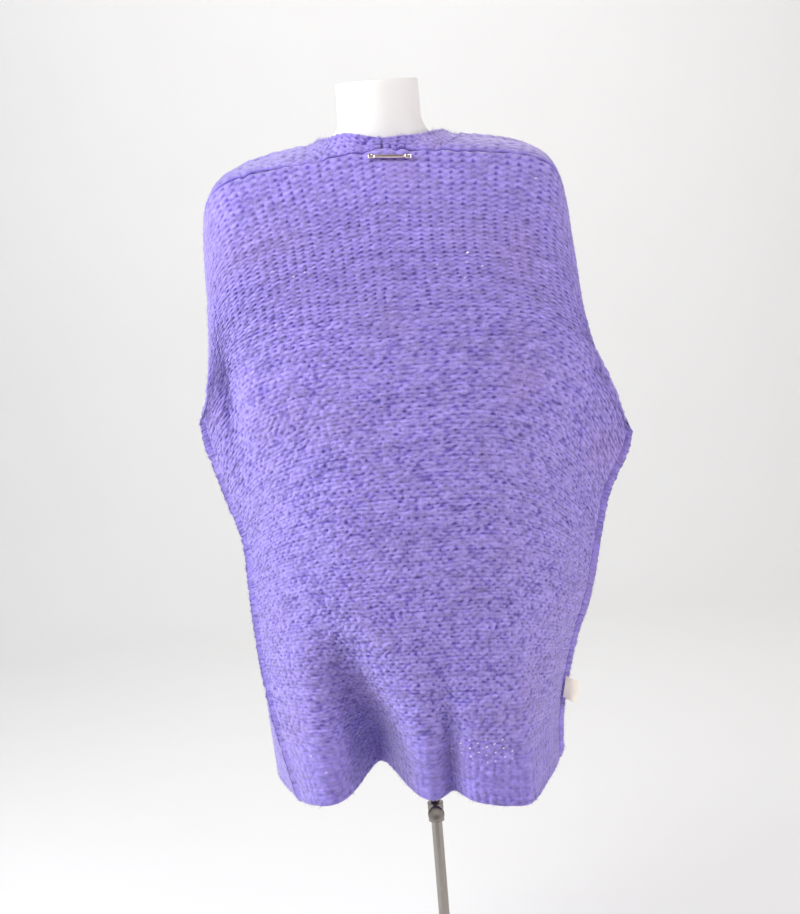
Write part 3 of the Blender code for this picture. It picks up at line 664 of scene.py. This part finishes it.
# how the wall's thickness changes near its edges: thin in a seam's furrow, round at a free edge,
# and thick in a rolled edge or in the allowance that stands out along the side seam. An allowance
# that lies turned under is plainer
def edgeShape(height, toSide, toTop, toHem, share, plain, along):
    below = ease((share - garment["corner"] + 0.006) / 0.02)
    thick = garment["core"] + height
    dip = bell(toSide, garment["lipFurrow"], 0.0020)
    thick = thick * (1 - 0.55 * dip * below * (1 - 0.75 * plain))
    lip = garment["lip"] * ease((0.0050 - toSide) / 0.0022) * ease((1.01 - share) / 0.03)
    uneven = 0.92 + 0.06 * wander(11, share * 90, share * 7)
    grown = ease((share - garment["corner"] + 0.030) / 0.070)
    thick = thick + lip * grown * uneven * (1 - 0.25 * plain)
    thick = thick + garment["curl"] * bell(toSide, 0, 0.0085) * (1 - below)
    thick = thick * (1 - (0.15 + 0.40 * seamStrength(along)) * bell(toTop, 0, garment["furrow"]))
    return thick * roundedEdge(np.minimum(toSide + below, toHem))


# marks the outer point nearest to each slack stitch, for its painted glow
def thinGlowAt(outside, places):
    thinGlow = np.zeros(outside.shape[:2])
    for x, z, white in places:
        away = np.hypot(outside[..., 0] - x, outside[..., 2] - z)
        if away.min() < 0.004:
            thinGlow.flat[away.argmin()] = white
    return thinGlow


# outer points that loose fibres grow from, with their distance to a free edge
ground = []


def keepGround(outside, normal, toEdge):
    beside = outside[:-1, 1:] - outside[:-1, :-1]
    ground.append((outside[:-1, :-1], normal[:-1, :-1], beside, toEdge[:-1, :-1]))


# two sizes of unevenness in the colour: from stitch to stitch, and in long streaks
def toneOf(seed, wale, course):
    return 0.10 * wander(seed, wale, course / 0.9) + 0.05 * wander(seed + 1, wale / 9, course)


# knits a panel: each outer point stands off the inner wall along its normal, by the height of the
# stitches as the seams and edges change it. furrow and rim set the painted shade in the side seam's
# furrow and along its outer edge
def knitPanel(name, surface, across, share, wale, toSide, seed, toneSeed,
              toBand=np.inf, furrow=1.0, rim=0.0, plain=0.0, loose=1.0, slackPlaces=()):
    down = share[:, None] + 0 * across
    toTop, toHem = down * garment["length"], (1 - down) * garment["length"]
    inside = surface(across, down)
    normal = leanedNormals(surface, across, down, share, toSide)
    height, deep = knitHeight(wale, down, seed)
    height = height + chance.normal(0, garment["rough"], height.shape) * loose
    toSeam = np.minimum(toTop, toBand * 2.5 + garment["furrow"])
    thick = edgeShape(height, toSide, toSeam, toHem, down, plain, wale)
    outside = inside + normal * thick[..., None]
    below = ease((down - garment["corner"]) / 0.02)
    # painted shade in the seams' furrows and along the side's outer edge
    for paintedShade in (
        seamShade(toTop, wale),
        0.12 * seamShade(toBand, wale),
        below * furrow * bell(toSide, garment["lipFurrow"], 0.0018),
        below * rim * bell(toSide, 0, 0.0020),
    ):
        deep = np.maximum(deep, paintedShade)
    keepGround(outside, normal, np.minimum(toSide, toHem))
    tone = toneOf(toneSeed, wale, courseOf(down))
    thinGlow = thinGlowAt(outside, slackPlaces)
    return clothWall(name, inside, outside, deep, tone, thinGlow, wale, down, knit)


def buildBack(name, low, high):
    share = sharesBetween(low, high, backCut["rows"])
    part = np.linspace(0, 1, backCut["columns"] // 2 + 1)
    left, leftRun, _, _ = evenPlaces(backSurface, -1, share, part)
    right, rightRun, _, _ = evenPlaces(backSurface, 1, share, part)
    across = np.concatenate([left[:, ::-1], right[:, 1:]], 1)
    u = np.concatenate([-part[::-1], part[1:]])[None, :] + 0 * across
    toSide = (1 - np.abs(u)) * np.where(u < 0, leftRun[:, None], rightRun[:, None])
    plain = (u < 0) * ease((share[:, None] - 0.31) / 0.03)    # the left seam lies turned under
    # the first and last rows keep the same places in both meshes
    loose = ((share > low + 1e-6) & (share < high - 1e-6))[:, None]
    made = knitPanel(name, backSurface, across, share, u * garment["wales"] / 2, toSide, 3, 5,
                     furrow=0.9 - 0.75 * plain, rim=0.65, plain=plain, loose=loose,
                     slackPlaces=thinGlowPlaces)
    return made


def buildFront(name, side):
    share = sharesBetween(garment["seamStart"], 1.0, frontCut["rows"])
    _, run, parts, a = evenPlaces(frontSurface, side, share, np.linspace(0, 1, 2))
    overlap = 0.0004    # the front reaches this far under the band
    start = np.abs(sewnPlace(side, share, -overlap))
    start[0] += overlap
    first = np.array([np.interp(s, a, r) for s, r in zip(start, parts)])[:, None]
    part = first + (1 - first) * np.linspace(0, 1, frontCut["columns"] + 1)
    across = side * np.array([np.interp(p, r, a) for p, r in zip(part, parts)])
    run = run[:, None]
    made = knitPanel(name, frontSurface, across, share, side * part * garment["wales"] / 2,
                     (1 - part) * run, 40 + side, 7, toBand=(part - first) * run)
    return made


backUpper = buildBack("backUpper", 0.0, splitShare)
backLower = buildBack("backLower", splitShare, 1.0)
print("back knitted")
frontLeft = buildFront("frontLeft", -1)
frontRight = buildFront("frontRight", 1)
print("fronts knitted")

bandCut = {
    "rows": 600,
    "columns": 24,
    "wales": 0.0102,       # stitch width along the band
    "courses": 0.0062,     # course height across it
    "sewnRound": 5,        # stations from the middle of the neck to the end of the shoulder seam
    "round": 9,            # and to the side of the neck
    "neckX": 0.0790,
    "neckY": 0.0700,
    "backZ": 1.426,
    "sideZ": 1.422,
    "spread": 0.006,       # how far it stands out, and how thin it is stretched, beside the neck
    "stretch": 0.40,
    "turnAt": 8.8,
    "bobble": 0.0095,      # round bumps where the two halves are joined behind the neck
    "bobblesRight": 0.038,
    "bobblesLeft": 0.010,
    "dip": 0.0045,         # how far the free edge sinks at the join, rises left of it
    "crest": 0.0060,       # and lies lower right of it
    "settled": 0.0045,
}
# share of the length at each station past the shoulder seam's end
bandShares = [garment["seamStart"], .012, .022, .032, .043, .055, .070, .088, .11, .14, .18, .22,
              .26, .32, .38, .44, .50, .57, .64, .71, .78, .84, .895, .905, .955, 1]


# the band: a strip ruled between its sewn edge and its free edge, the free edge a quarter ellipse
# round the neck and then the front's own line, pushed clear of the form. q counts its stations
def bandSurface(side, q, w):
    share = np.interp(q - bandCut["sewnRound"], np.arange(len(bandShares)), bandShares)
    behind = q < bandCut["sewnRound"]
    sewnAt = np.where(behind, side * q / garment["wales"] * 2, sewnPlace(side, share, 0.0))
    sewn = frontSurface(sewnAt, share)
    join = garment["seamGap"] / 2
    sewn[..., 0] = np.where(q < 1e-6, side * join, sewn[..., 0])
    free = frontSurface(acrossAt(side, smoothTable(bandLine, share)[1], share), share)
    turn = np.clip(q / bandCut["round"], 0, 1) * math.pi / 2
    spread = bandCut["spread"] * bell(q, bandCut["turnAt"], 1.2)
    neck = np.stack([
        side * (bandCut["neckX"] * np.sin(turn) + join + spread),
        -bandCut["neckY"] * np.cos(turn),
        bandCut["backZ"] + (bandCut["sideZ"] - bandCut["backZ"]) * np.sin(turn),
    ], -1)
    mix = ease((q - 8.2) / 2.4)[..., None]
    free = neck * (1 - mix) + free * mix
    if side < 0:
        rise = bandCut["crest"] * bell(q, 3.6, 1.6)
    else:
        rise = -bandCut["settled"] * bell(q, 3.0, 3.0)
    free[..., 2] = free[..., 2] - bandCut["dip"] * bell(q, 0, 1.1) + rise
    p = sewn * (1 - w[..., None]) + free * w[..., None]
    return clearOfForm(p, garment["formGap"]), sewnAt, share


# bobbles: half sine waves along the band and across its lower third, near the join
def bobbles(purl, side, length, over):
    reach = bandCut["bobblesRight"] if side > 0 else bandCut["bobblesLeft"]
    near = ease((reach - length) / 0.003) * ease((0.38 - over) / 0.05)
    across = np.sin(math.pi * np.clip(over / 0.35, 0, 1)) ** 0.6
    dome = np.abs(np.sin(math.pi * length / bandCut["bobble"])) ** 0.7 * across
    return purl * (1 - near) + 1.7 * dome * near


def buildBand(name, side):
    many = np.linspace(0, len(bandShares) - 1 + bandCut["sewnRound"], 900)
    line = bandSurface(side, many, np.full_like(many, 0.5))[0]
    run = np.cumsum(np.linalg.norm(np.diff(line, axis=0), axis=-1))
    run = np.concatenate([[0], run])
    q = np.interp(np.linspace(0, run[-1], bandCut["rows"] + 1), run, many)
    station, part = np.meshgrid(q, np.linspace(0, 1, bandCut["columns"] + 1), indexing="ij")
    inside, sewnAt, share = bandSurface(side, station, part)
    inside[0, :, 0] = side * garment["seamGap"] / 2
    along, over = np.gradient(inside, axis=0), np.gradient(inside, axis=1)
    normal = unit(np.cross(along, over)) * side
    seam = normalsOf(frontSurface, sewnAt[:, 0], share[:, 0])
    onTop = (1 - ease(share[:, 0] / garment["seamLean"]))[:, None]
    seam = unit(seam * (1 - onTop) + shoulderNormals(sewnAt[:, 0]) * onTop)
    w = (1 - ease(part / 0.25))[..., None]
    normal = unit(normal * (1 - w) + seam[:, None] * w)
    normal[0, :, 0] = 0
    wide = np.linalg.norm(inside[:, -1] - inside[:, 0], axis=-1)[:, None]
    length = np.interp(q, many, run)[:, None] * np.ones_like(part)
    wale = length / bandCut["wales"]
    course = part * np.round(wide.mean() / bandCut["courses"])
    purl = purlStitches(wale - 0.35 * course, course, 0.3, 60 + side)
    purl = bobbles(purl, side, length, part)
    height = garment["stitch"] * 1.05 * purl + chance.normal(0, garment["rough"], purl.shape)
    if side < 0:
        # the crease that slants up from the join, sunk and painted with shade
        crease = 0.8 * bell(length - 0.030 * (1 - part), 0.010, 0.0026)
        crease = 1 - crease * ease((part - 0.35) / 0.2)
        height, purl = height * crease, purl * crease
    toSeam, toFree = part * wide, (1 - part) * wide
    onNeck = station < 5.2
    toSeam = np.where(onNeck, toSeam, toSeam * 2.5 + garment["furrow"])
    toSeam = np.minimum(toSeam, length * 1.6 + 0.0010)
    thick = (garment["core"] + height) * (1 - 0.40 * bell(toSeam, 0, garment["furrow"]))
    thick = thick + garment["curl"] * 0.6 * bell(toFree, 0, 0.007)
    thick = thick * (1 - bandCut["stretch"] * bell(station, bandCut["turnAt"], 1.3))
    thick = thick * roundedEdge(np.minimum(toFree, run[-1] - length))
    outside = inside + normal * thick[..., None]
    outside[0, :, 0] = side * garment["seamGap"] / 2
    # painted shade in the seam's furrow, and between the stitches
    paintedShade = seamShade(toSeam, wale) * np.where(onNeck, 1, 0.15)
    deep = np.maximum(1 - np.clip(purl, 0, 1), paintedShade)
    keepGround(outside, normal, toFree)
    tone = 0.10 * wander(9, wale, course) + 0.03
    made = clothWall(name, inside, outside, deep, tone, 0 * tone, wale, share, bandKnit)
    return made


bandLeft = buildBand("bandLeft", -1)
bandRight = buildBand("bandRight", 1)
print("bands knitted")

# each piece hangs on the form and hides the part that it stands for
for made, node, mySlot in (
    (backUpper, "back", "knit_back"),
    (backLower, "back", "knit_back"),
    (frontLeft, "front_left", "knit_front_left"),
    (frontRight, "front_right", "knit_front_right"),
    (bandLeft, "band_left", "knit_band_left"),
    (bandRight, "band_right", "knit_band_right"),
):
    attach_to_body(made, "form")
    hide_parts(node)

fuzz = {
    "count": 42000,
    "short": 0.0025,
    "long": 0.0075,
    "thick": 0.00024,      # drawn thicker than they are so that they show
    "root": 0.0006,        # how deep they start in the yarn
    "edgePull": 16.0,      # how many more grow near a free edge
    "edgeWide": 0.008,
    "share": (1.2, 1.2, 1.0, 1.0, 0.25, 0.25),    # dealt out to back, fronts and bands
}


# loose fibres: each a thin three-sided spike that leaves the yarn at its own slant
def buildFuzz(name, paint):
    count = fuzz["count"]
    outside, normal, along = (
        np.concatenate([g[i].reshape(-1, 3) for g in ground]) for i in range(3)
    )
    along = unit(along)
    away = np.concatenate([g[3].ravel() for g in ground])
    parts = [np.full(g[3].size, 1 / g[3].size * part) for g, part in zip(ground, fuzz["share"])]
    weight = np.concatenate(parts) * (1 + fuzz["edgePull"] * bell(away, 0, fuzz["edgeWide"]))
    pick = chance.choice(len(away), count, p=weight / weight.sum())
    foot, n, t = outside[pick], normal[pick], along[pick]
    foot = foot + t * chance.uniform(0, 0.003, (count, 1))
    b = np.cross(n, t)
    angle = chance.uniform(0, 2 * math.pi, (count, 1))
    way = t * np.cos(angle) + b * np.sin(angle)
    aside = t * np.sin(angle) - b * np.cos(angle)
    long = chance.uniform(fuzz["short"], fuzz["long"], (count, 1))
    long = long * chance.uniform(0.4, 1, (count, 1))
    lift = chance.uniform(0.10, 0.90, (count, 1))
    turn = (np.arange(3) * 2 * math.pi / 3)[None, :, None]
    ring = (n[:, None] * np.cos(turn) + aside[:, None] * np.sin(turn)) * fuzz["thick"]
    feet = (foot - n * fuzz["root"])[:, None] + ring
    tips = (foot + long * (way + n * lift))[:, None]
    start = np.arange(count)[:, None] * 4
    sides = [start + np.array(f) for f in ((0, 2, 1), (0, 1, 3), (1, 2, 3), (2, 0, 3))]
    points = np.concatenate([feet, tips], 1).reshape(-1, 3)
    made = putMesh(name, points, [np.concatenate(sides)], paint)
    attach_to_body(made, "form")


# single mohair-like fibres: pale violet, they catch the light at the outline
def fibreMaterial():
    made, tree, shader, place = newMaterial("loose brushed fibre")
    vary = addNode(tree, "TexNoise", Vector=place, Scale=60.0, Detail=1.0).outputs["Fac"]
    base = addNode(tree, "Mix", {"data_type": "RGBA"}, n0=vary,
                   n6=linear(knitLook["body"]), n7=linear("C4B8F2")).outputs[2]
    setInputs(tree, shader, Base_Color=base, Roughness=0.8, Sheen_Weight=0.3)
    return made


buildFuzz("looseFibres", fibreMaterial())
print("fibres grown")

# care label: two layers of satin ribbon folded in half, blank, its raw end sewn between the
# allowances
label = {
    "share": 0.850,        # share of the length where it is sewn in
    "wide": 0.024,
    "high": 0.034,
    "thick": 0.0012,
    "under": 0.10,         # part of its width between the allowances
    "weave": 0.35,         # mm, drawn coarser than it is so that it shows
}


# woven satin ribbon: soft sheen, a fine rib across it, creased
def labelMaterial():
    made, tree, shader, place = newMaterial("woven satin ribbon")
    weave = addNode(tree, "TexWave", {"wave_type": "BANDS", "bands_direction": "Z"},
                    Vector=place, Scale=1000 / label["weave"] / 20, Distortion=0.4).outputs["Fac"]
    crease = addNode(tree, "TexNoise", Vector=place, Scale=110.0, Detail=2.0).outputs["Fac"]
    base = addNode(tree, "Mix", {"data_type": "RGBA"}, n0=crease, n6=linear("FFFAF0"),
                   n7=linear("F8ECDD")).outputs[2]
    normal = addNode(tree, "Bump", Strength=0.3, Distance=0.0002, Height=weave).outputs[0]
    normal = addNode(tree, "Bump", Strength=0.5, Distance=0.0010, Height=crease,
                     Normal=normal).outputs[0]
    setInputs(tree, shader, Base_Color=base, Normal=normal, Roughness=0.42, Sheen_Weight=0.2)
    return made


# the label: a leaning rectangle whose free end falls and curls, a sine wave across it
def buildLabel():
    x, y, z = backSurface(np.ones(1), np.array([label["share"]]))[0]
    x = x + 0.003 + garment["lip"] * 0.98 + garment["seamGap"]
    w, h = np.meshgrid(np.linspace(-label["under"], 1, 25), np.linspace(-0.5, 0.5, 37))
    curl = 0.009 * w - 0.004 * np.sin(w * math.pi * 0.9) + 0.0006 * np.sin(5 * w + 4 * h)
    p = np.stack([
        x + label["wide"] * (0.78 * w - 0.28 * h),
        y - 0.010 + curl,
        z + 0.004 - label["wide"] * 0.50 * w - label["high"] * 0.94 * h,
    ], -1)
    edge = np.minimum(np.minimum(1 - w, 0.5 - np.abs(h)) * label["wide"], 0.001) / 0.001
    thick = label["thick"] * (0.5 + 0.5 * np.sqrt(np.clip(edge, 0, 1)))
    outside = p + np.array([0, -1.0, 0]) * thick[..., None]
    flat = np.zeros(w.shape)
    made = clothWall("careLabel", p, outside, flat, flat, flat, flat, flat + 0.5, labelMaterial())
    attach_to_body(made, "form")
    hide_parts("care_label")


buildLabel()

# blank metal bar behind the neck
bar = {"half": 0.029, "blockFrom": 0.020, "tilt": math.radians(4.4), "around": 28}
barTable = [
    # distance from the middle, radius
    (0.0000, 0.00265), (0.0100, 0.00255), (0.0190, 0.00215), (0.0200, 0.00225), (0.0208, 0.00310),
    (0.0222, 0.00360), (0.0236, 0.00340), (0.0246, 0.00290), (0.0256, 0.00340), (0.0268, 0.00375),
    (0.0282, 0.00370), (0.0289, 0.00330), (0.0290, 0.00230),
]


# rings whose radius follows the table, a little squarer at the ends
def buildBar(paint):
    low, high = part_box("neck_bar")
    x, y, z = ((a + b) / 2 for a, b in zip(low, high))
    distance = np.linspace(0, bar["half"], 60)
    distance = np.concatenate([-distance[::-1], distance[1:]])[:, None]
    angle = np.linspace(0, 2 * math.pi, bar["around"], endpoint=False)[None, :]
    endBlock = ease((np.abs(distance) - bar["blockFrom"]) / 0.001)
    square = 1 + 0.10 * endBlock * np.cos(4 * angle - math.pi)
    radius = smoothTable(barTable, np.abs(distance))[0] * square
    rings = np.stack([
        x + distance + 0 * angle,
        y + radius * np.cos(angle),
        z + radius * np.sin(angle) - math.tan(bar["tilt"]) * distance,
    ], -1)
    made = ringBody("neckBar", rings, paint)
    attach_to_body(made, "form")
    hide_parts("neck_bar")


# rings of points one above the other, closed at both ends by a fan, or into a tube if it has a bore
def ringBody(name, rings, paint, bored=False):
    count, around = rings.shape[:2]
    index = np.arange(count * around).reshape(count, around)
    if bored:
        index = np.concatenate([index, index[:1]])
    index = np.concatenate([index, index[:, :1]], 1)
    groups = [gridQuads(index)]
    points = rings.reshape(-1, 3)
    if not bored:
        points = np.concatenate([points, rings[:1].mean(1), rings[-1:].mean(1)])
        low, high = np.full(around, count * around), np.full(around, count * around + 1)
        a, b = index[0], index[-1]
        groups.append(np.stack([a[1:], a[:-1], low], -1))
        groups.append(np.stack([b[:-1], b[1:], high], -1))
    made = putMesh(name, points, groups, paint)
    made.data.set_sharp_from_angle(angle=math.radians(40))
    return made


# a turned outline with its corners rounded: each corner becomes a short curve through its two cuts
def roundOutline(outline, radius, steps=4):
    outline = np.array(outline, float)
    out = [outline[0]]
    for before, here, after in zip(outline[:-2], outline[1:-1], outline[2:]):
        cut = min(radius, np.linalg.norm(before - here) * 0.45, np.linalg.norm(after - here) * 0.45)
        p, q = here + unit(before - here) * cut, here + unit(after - here) * cut
        for t in np.linspace(0, 1, steps + 1):
            out.append(p * (1 - t) ** 2 + here * 2 * t * (1 - t) + q * t * t)
    out.append(outline[-1])
    return np.array(out)


# spins an outline of radius and height round the upright axis, or round a level one through a point
def turned(name, outline, paint, around=64, bored=False, point=None):
    angle = np.linspace(0, 2 * math.pi, around, endpoint=False)
    r, h = outline[:, :1], outline[:, 1:]
    rings = np.stack([r * np.cos(angle), r * np.sin(angle), h + 0 * angle], -1)
    if point is not None:
        rings = rings[..., [0, 2, 1]] * [1, -1, 1] + point
    return ringBody(name, rings, paint, bored)


# moulded white plastic shell with a matt lacquer: chalky, faint orange peel
def formMaterial():
    made, tree, shader, place = newMaterial("matt white lacquer on a moulded shell")
    peel = addNode(tree, "TexNoise", Vector=place, Scale=420.0, Detail=2.0).outputs["Fac"]
    patch = addNode(tree, "TexNoise", Vector=place, Scale=6.0, Detail=3.0).outputs["Fac"]
    base = addNode(tree, "Mix", {"data_type": "RGBA"}, n0=patch, n6=linear("FBFAF9"),
                   n7=linear("F7F6F4")).outputs[2]
    normal = addNode(tree, "Bump", Strength=0.12, Distance=0.0004, Height=peel).outputs[0]
    setInputs(tree, shader, Base_Color=base, Normal=normal, Roughness=0.6, Specular_IOR_Level=0.35)
    return made


# polished chrome plate on steel tube: bright, near-black and white, fine wiping scratches
def chromeMaterial(name, tint, wiped, rough):
    made, tree, shader, place = newMaterial(name)
    fine = addNode(tree, "Mapping", Vector=place, Scale=(1.0, 1.0, 0.06)).outputs[0]
    wipe = addNode(tree, "TexNoise", Vector=fine, Scale=900.0, Detail=3.0).outputs["Fac"]
    smear = addNode(tree, "TexNoise", Vector=place, Scale=40.0, Detail=2.0).outputs["Fac"]
    value = addNode(tree, "MapRange", Value=smear, n1=0.3, n2=0.8, n3=rough * 0.8,
                    n4=rough * 1.4).outputs[0]
    base = addNode(tree, "Mix", {"data_type": "RGBA"}, n0=wipe, n6=linear(tint),
                   n7=linear(wiped)).outputs[2]
    normal = addNode(tree, "Bump", Strength=0.05, Distance=0.0002, Height=wipe).outputs[0]
    setInputs(tree, shader, Base_Color=base, Normal=normal, Roughness=value, Metallic=1.0)
    return made


lacquer = formMaterial()
chrome = chromeMaterial("chrome plate", "8F8984", "A9A39E", 0.16)
dullChrome = chromeMaterial("brushed chrome plate", "827B75", "9C958F", 0.26)
roseNickel = chromeMaterial("rose nickel plate", "F3DAD4", "F8E8E2", 0.22)


formLook = {"around": 96, "levels": 110, "edge": 0.004, "narrowed": 0.03}


# dress form: level rounded ellipses, the superellipse with each section's roundness, edges rounded
def buildForm():
    low, high, edge = formSections[0][0], formSections[-1][0], formLook["edge"]
    inner = np.linspace(low + edge, high - edge, formLook["levels"])
    t = np.linspace(0, math.pi / 2, 7)[:-1]
    shrink = np.concatenate([
        [0.3, 0.6, 0.85],
        1 - (1 - np.sin(t)) * formLook["narrowed"],
        np.ones(len(inner)),
        1 - (1 - np.cos(t[1:])) * formLook["narrowed"],
        [0.96, 0.85, 0.6, 0.3],
    ])
    level = np.concatenate([
        [low] * 3,
        low + edge * (1 - np.cos(t)),
        inner,
        high - edge + edge * np.sin(t[1:]),
        [high] * 4,
    ])
    halfX, halfY, midY, power = (v[:, None] for v in smoothTable(formSections, level))
    angle = np.linspace(0, 2 * math.pi, formLook["around"], endpoint=False)[None, :]
    c, s = np.cos(angle), np.sin(angle)
    x = np.sign(c) * np.abs(c) ** (2 / power) * halfX * shrink[:, None]
    y = np.sign(s) * np.abs(s) ** (2 / power) * halfY * shrink[:, None] + midY
    return ringBody("dressForm", np.stack([x, y, level[:, None] + 0 * x], -1), lacquer)


formPiece = buildForm()
buildBar(roseNickel)

metal = {
    "rodTop": 0.7397,
    "rodFoot": 0.150,
    "rodRadius": 0.0060,
    "flange": 0.031,
    "tubeRadius": 0.0080,
    "bore": 0.0064,
    "tubeTop": 0.446,
    "collarRadius": 0.0115,
    "collarLow": 0.430,
    "collarHigh": 0.459,
    "collarBore": 0.0083,
    "knobZ": 0.449,
    "play": 0.0003,        # room between the clamp's pieces
}
rodTop, rodRadius, rodFoot, flange = (
    metal[key] for key in ("rodTop", "rodRadius", "rodFoot", "flange"))
tubeTop, tubeRadius, bore, play = (
    metal[key] for key in ("tubeTop", "tubeRadius", "bore", "play"))
low, high, collarRadius, collarBore = (
    metal[key] for key in ("collarLow", "collarHigh", "collarRadius", "collarBore"))
# each outline: radius and height of its corners
rod = turned("poleRod", roundOutline([
    (0.0, rodTop), (flange, rodTop), (flange, rodTop - 0.006), (0.010, rodTop - 0.009),
    (rodRadius, rodTop - 0.020), (rodRadius, rodFoot), (0.0, rodFoot)], 0.0012), chrome)
tube = turned("poleTube", roundOutline([
    (bore, 0.2), (bore, tubeTop), (tubeRadius, tubeTop), (tubeRadius, 0.0083), (bore, 0.0083),
    (bore, 0.19)], 0.0004), chrome, bored=True)
collar = turned("clampCollar", roundOutline([
    (bore, high - 0.005), (bore, high), (collarRadius, high), (collarRadius, 0.4475),
    (0.0108, 0.4468), (0.0108, 0.4455), (collarRadius, 0.4448), (collarRadius, low),
    (collarBore, low), (collarBore, tubeTop + play), (bore, tubeTop + play),
    (bore, high - 0.006)], 0.0008), dullChrome, bored=True)
knob = turned("clampKnob", roundOutline([
    (0.0, 0.0172), (0.0070, 0.0180), (0.0108, 0.0178), (0.0120, 0.0160), (0.0120, 0.0100),
    (0.0108, 0.0088), (0.0050, 0.0080), (0.0038, 0.0060), (0.0038, 0.0), (0.0, 0.0)], 0.0008),
    dullChrome, point=(0.0, -collarRadius - play, metal["knobZ"]))
standBase = turned("standBase", roundOutline([
    (0.0, 0.0080), (0.0083, 0.0080), (0.0083, 0.0380), (0.0110, 0.0380), (0.0130, 0.0350),
    (0.0145, 0.0200), (0.0240, 0.0132), (0.0600, 0.0112), (0.1500, 0.0082), (0.1770, 0.0064),
    (0.1800, 0.0040), (0.1800, 0.0008), (0.1790, 0.0), (0.0, 0.0)], 0.0016), dullChrome, around=160)
for made, node, body, mySlot in (
    (formPiece, "dress_form", "form", "form_white"), (rod, "pole_rod", "form", "rod_chrome"),
    (tube, "pole_tube", "stand", "tube_chrome"), (collar, "clamp_collar", "stand", "collar_chrome"),
    (knob, "clamp_knob", "knob", "knob_chrome"), (standBase, "base", "stand", "base_chrome"),
):
    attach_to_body(made, body)
    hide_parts(node)
print("form and stand built")

# camera, backdrop and lights of a plain white product picture
shot = {"place": (-0.01, -2.6, 1.40), "down": 9.3, "roll": 4.7, "focal": 1850 / 914 * 36}
light = {"key": 23, "side": 60, "fill": 47, "back": 46, "world": 0.22}


# puts a camera or lamp at a place, facing against its third direction
def stand(made, aside, up, behind, place):
    turn = np.eye(4)
    turn[:3] = np.stack([aside, up, behind, place], 1)
    made.matrix_world = Matrix(turn.tolist())
    return attach(made)


def addCamera():
    down, roll = math.radians(shot["down"]), math.radians(shot["roll"])
    ahead = np.array([0, math.cos(down), -math.sin(down)])
    level = np.array([1.0, 0, 0])
    upright = np.cross(level, ahead)
    aside = level * math.cos(roll) - upright * math.sin(roll)
    up = level * math.sin(roll) + upright * math.cos(roll)
    camera = bpy.data.objects.new("camera", bpy.data.cameras.new("camera"))
    camera.data.lens = shot["focal"]
    camera.data.sensor_fit = "VERTICAL"
    camera.data.sensor_height = 36
    bpy.context.scene.camera = stand(camera, aside, up, -ahead, shot["place"])


# backdrop: a floor that turns up into a wall, the turn a quarter circle
def buildSweep():
    half, near, far, high, radius = 6.0, -6.0, 4.0, 7.0, 1.2
    t = np.linspace(0, math.pi / 2, 24)
    y = np.concatenate([[near, 0.0], far - radius + radius * np.sin(t), [far]])
    z = np.concatenate([[0.0, 0.0], radius - radius * np.cos(t), [high]]) - 0.0002
    y, x = np.meshgrid(y, np.linspace(-half, half, 3), indexing="ij")
    points = np.stack([x, y, z[:, None] + 0 * x], -1)
    index = np.arange(x.size).reshape(x.shape)
    paper, tree, shader, place = newMaterial("white background paper")
    grain = addNode(tree, "TexNoise", Vector=place, Scale=3.0).outputs["Fac"]
    shade = addNode(tree, "Mix", {"data_type": "RGBA"}, n0=grain, n6=linear("FBFBFA"),
                    n7=linear("F8F7F6")).outputs[2]
    setInputs(tree, shader, Base_Color=shade, Roughness=0.9)
    made = putMesh("paperSweep", points.reshape(-1, 3), [gridQuads(index)], paper)


def addLamp(name, place, aim, size, colour):
    lamp = bpy.data.objects.new(name, bpy.data.lights.new(name, "AREA"))
    lamp.data.shape = "DISK"
    lamp.data.size = size
    lamp.data.energy = light[name]
    lamp.data.color = linear(colour)[:3]
    way = unit(np.array(place, float) - np.array(aim, float))
    side = unit(np.cross([0, 0, 1.0], way))
    stand(lamp, side, np.cross(way, side), way, place)


addCamera()
buildSweep()
addLamp("key", (-1.0, -1.1, 2.5), (0, 0, 1.25), 0.9, "FFFDFB")
addLamp("side", (-2.6, -0.5, 1.8), (0, 0, 1.2), 1.3, "F4F7FF")
addLamp("fill", (2.7, -0.9, 1.5), (0, 0, 0.9), 1.6, "FFF8F4")
addLamp("back", (0.0, 1.2, 3.4), (0, 3.8, 1.7), 2.4, "FFFFFF")
bpy.context.scene.view_settings.view_transform = "Standard"
sky = bpy.data.worlds.new("white studio")
sky.use_nodes = True
sky.node_tree.nodes["Background"].inputs[0].default_value = linear("FFFFFF")
sky.node_tree.nodes["Background"].inputs[1].default_value = light["world"]
bpy.context.scene.world = sky
print("studio set")
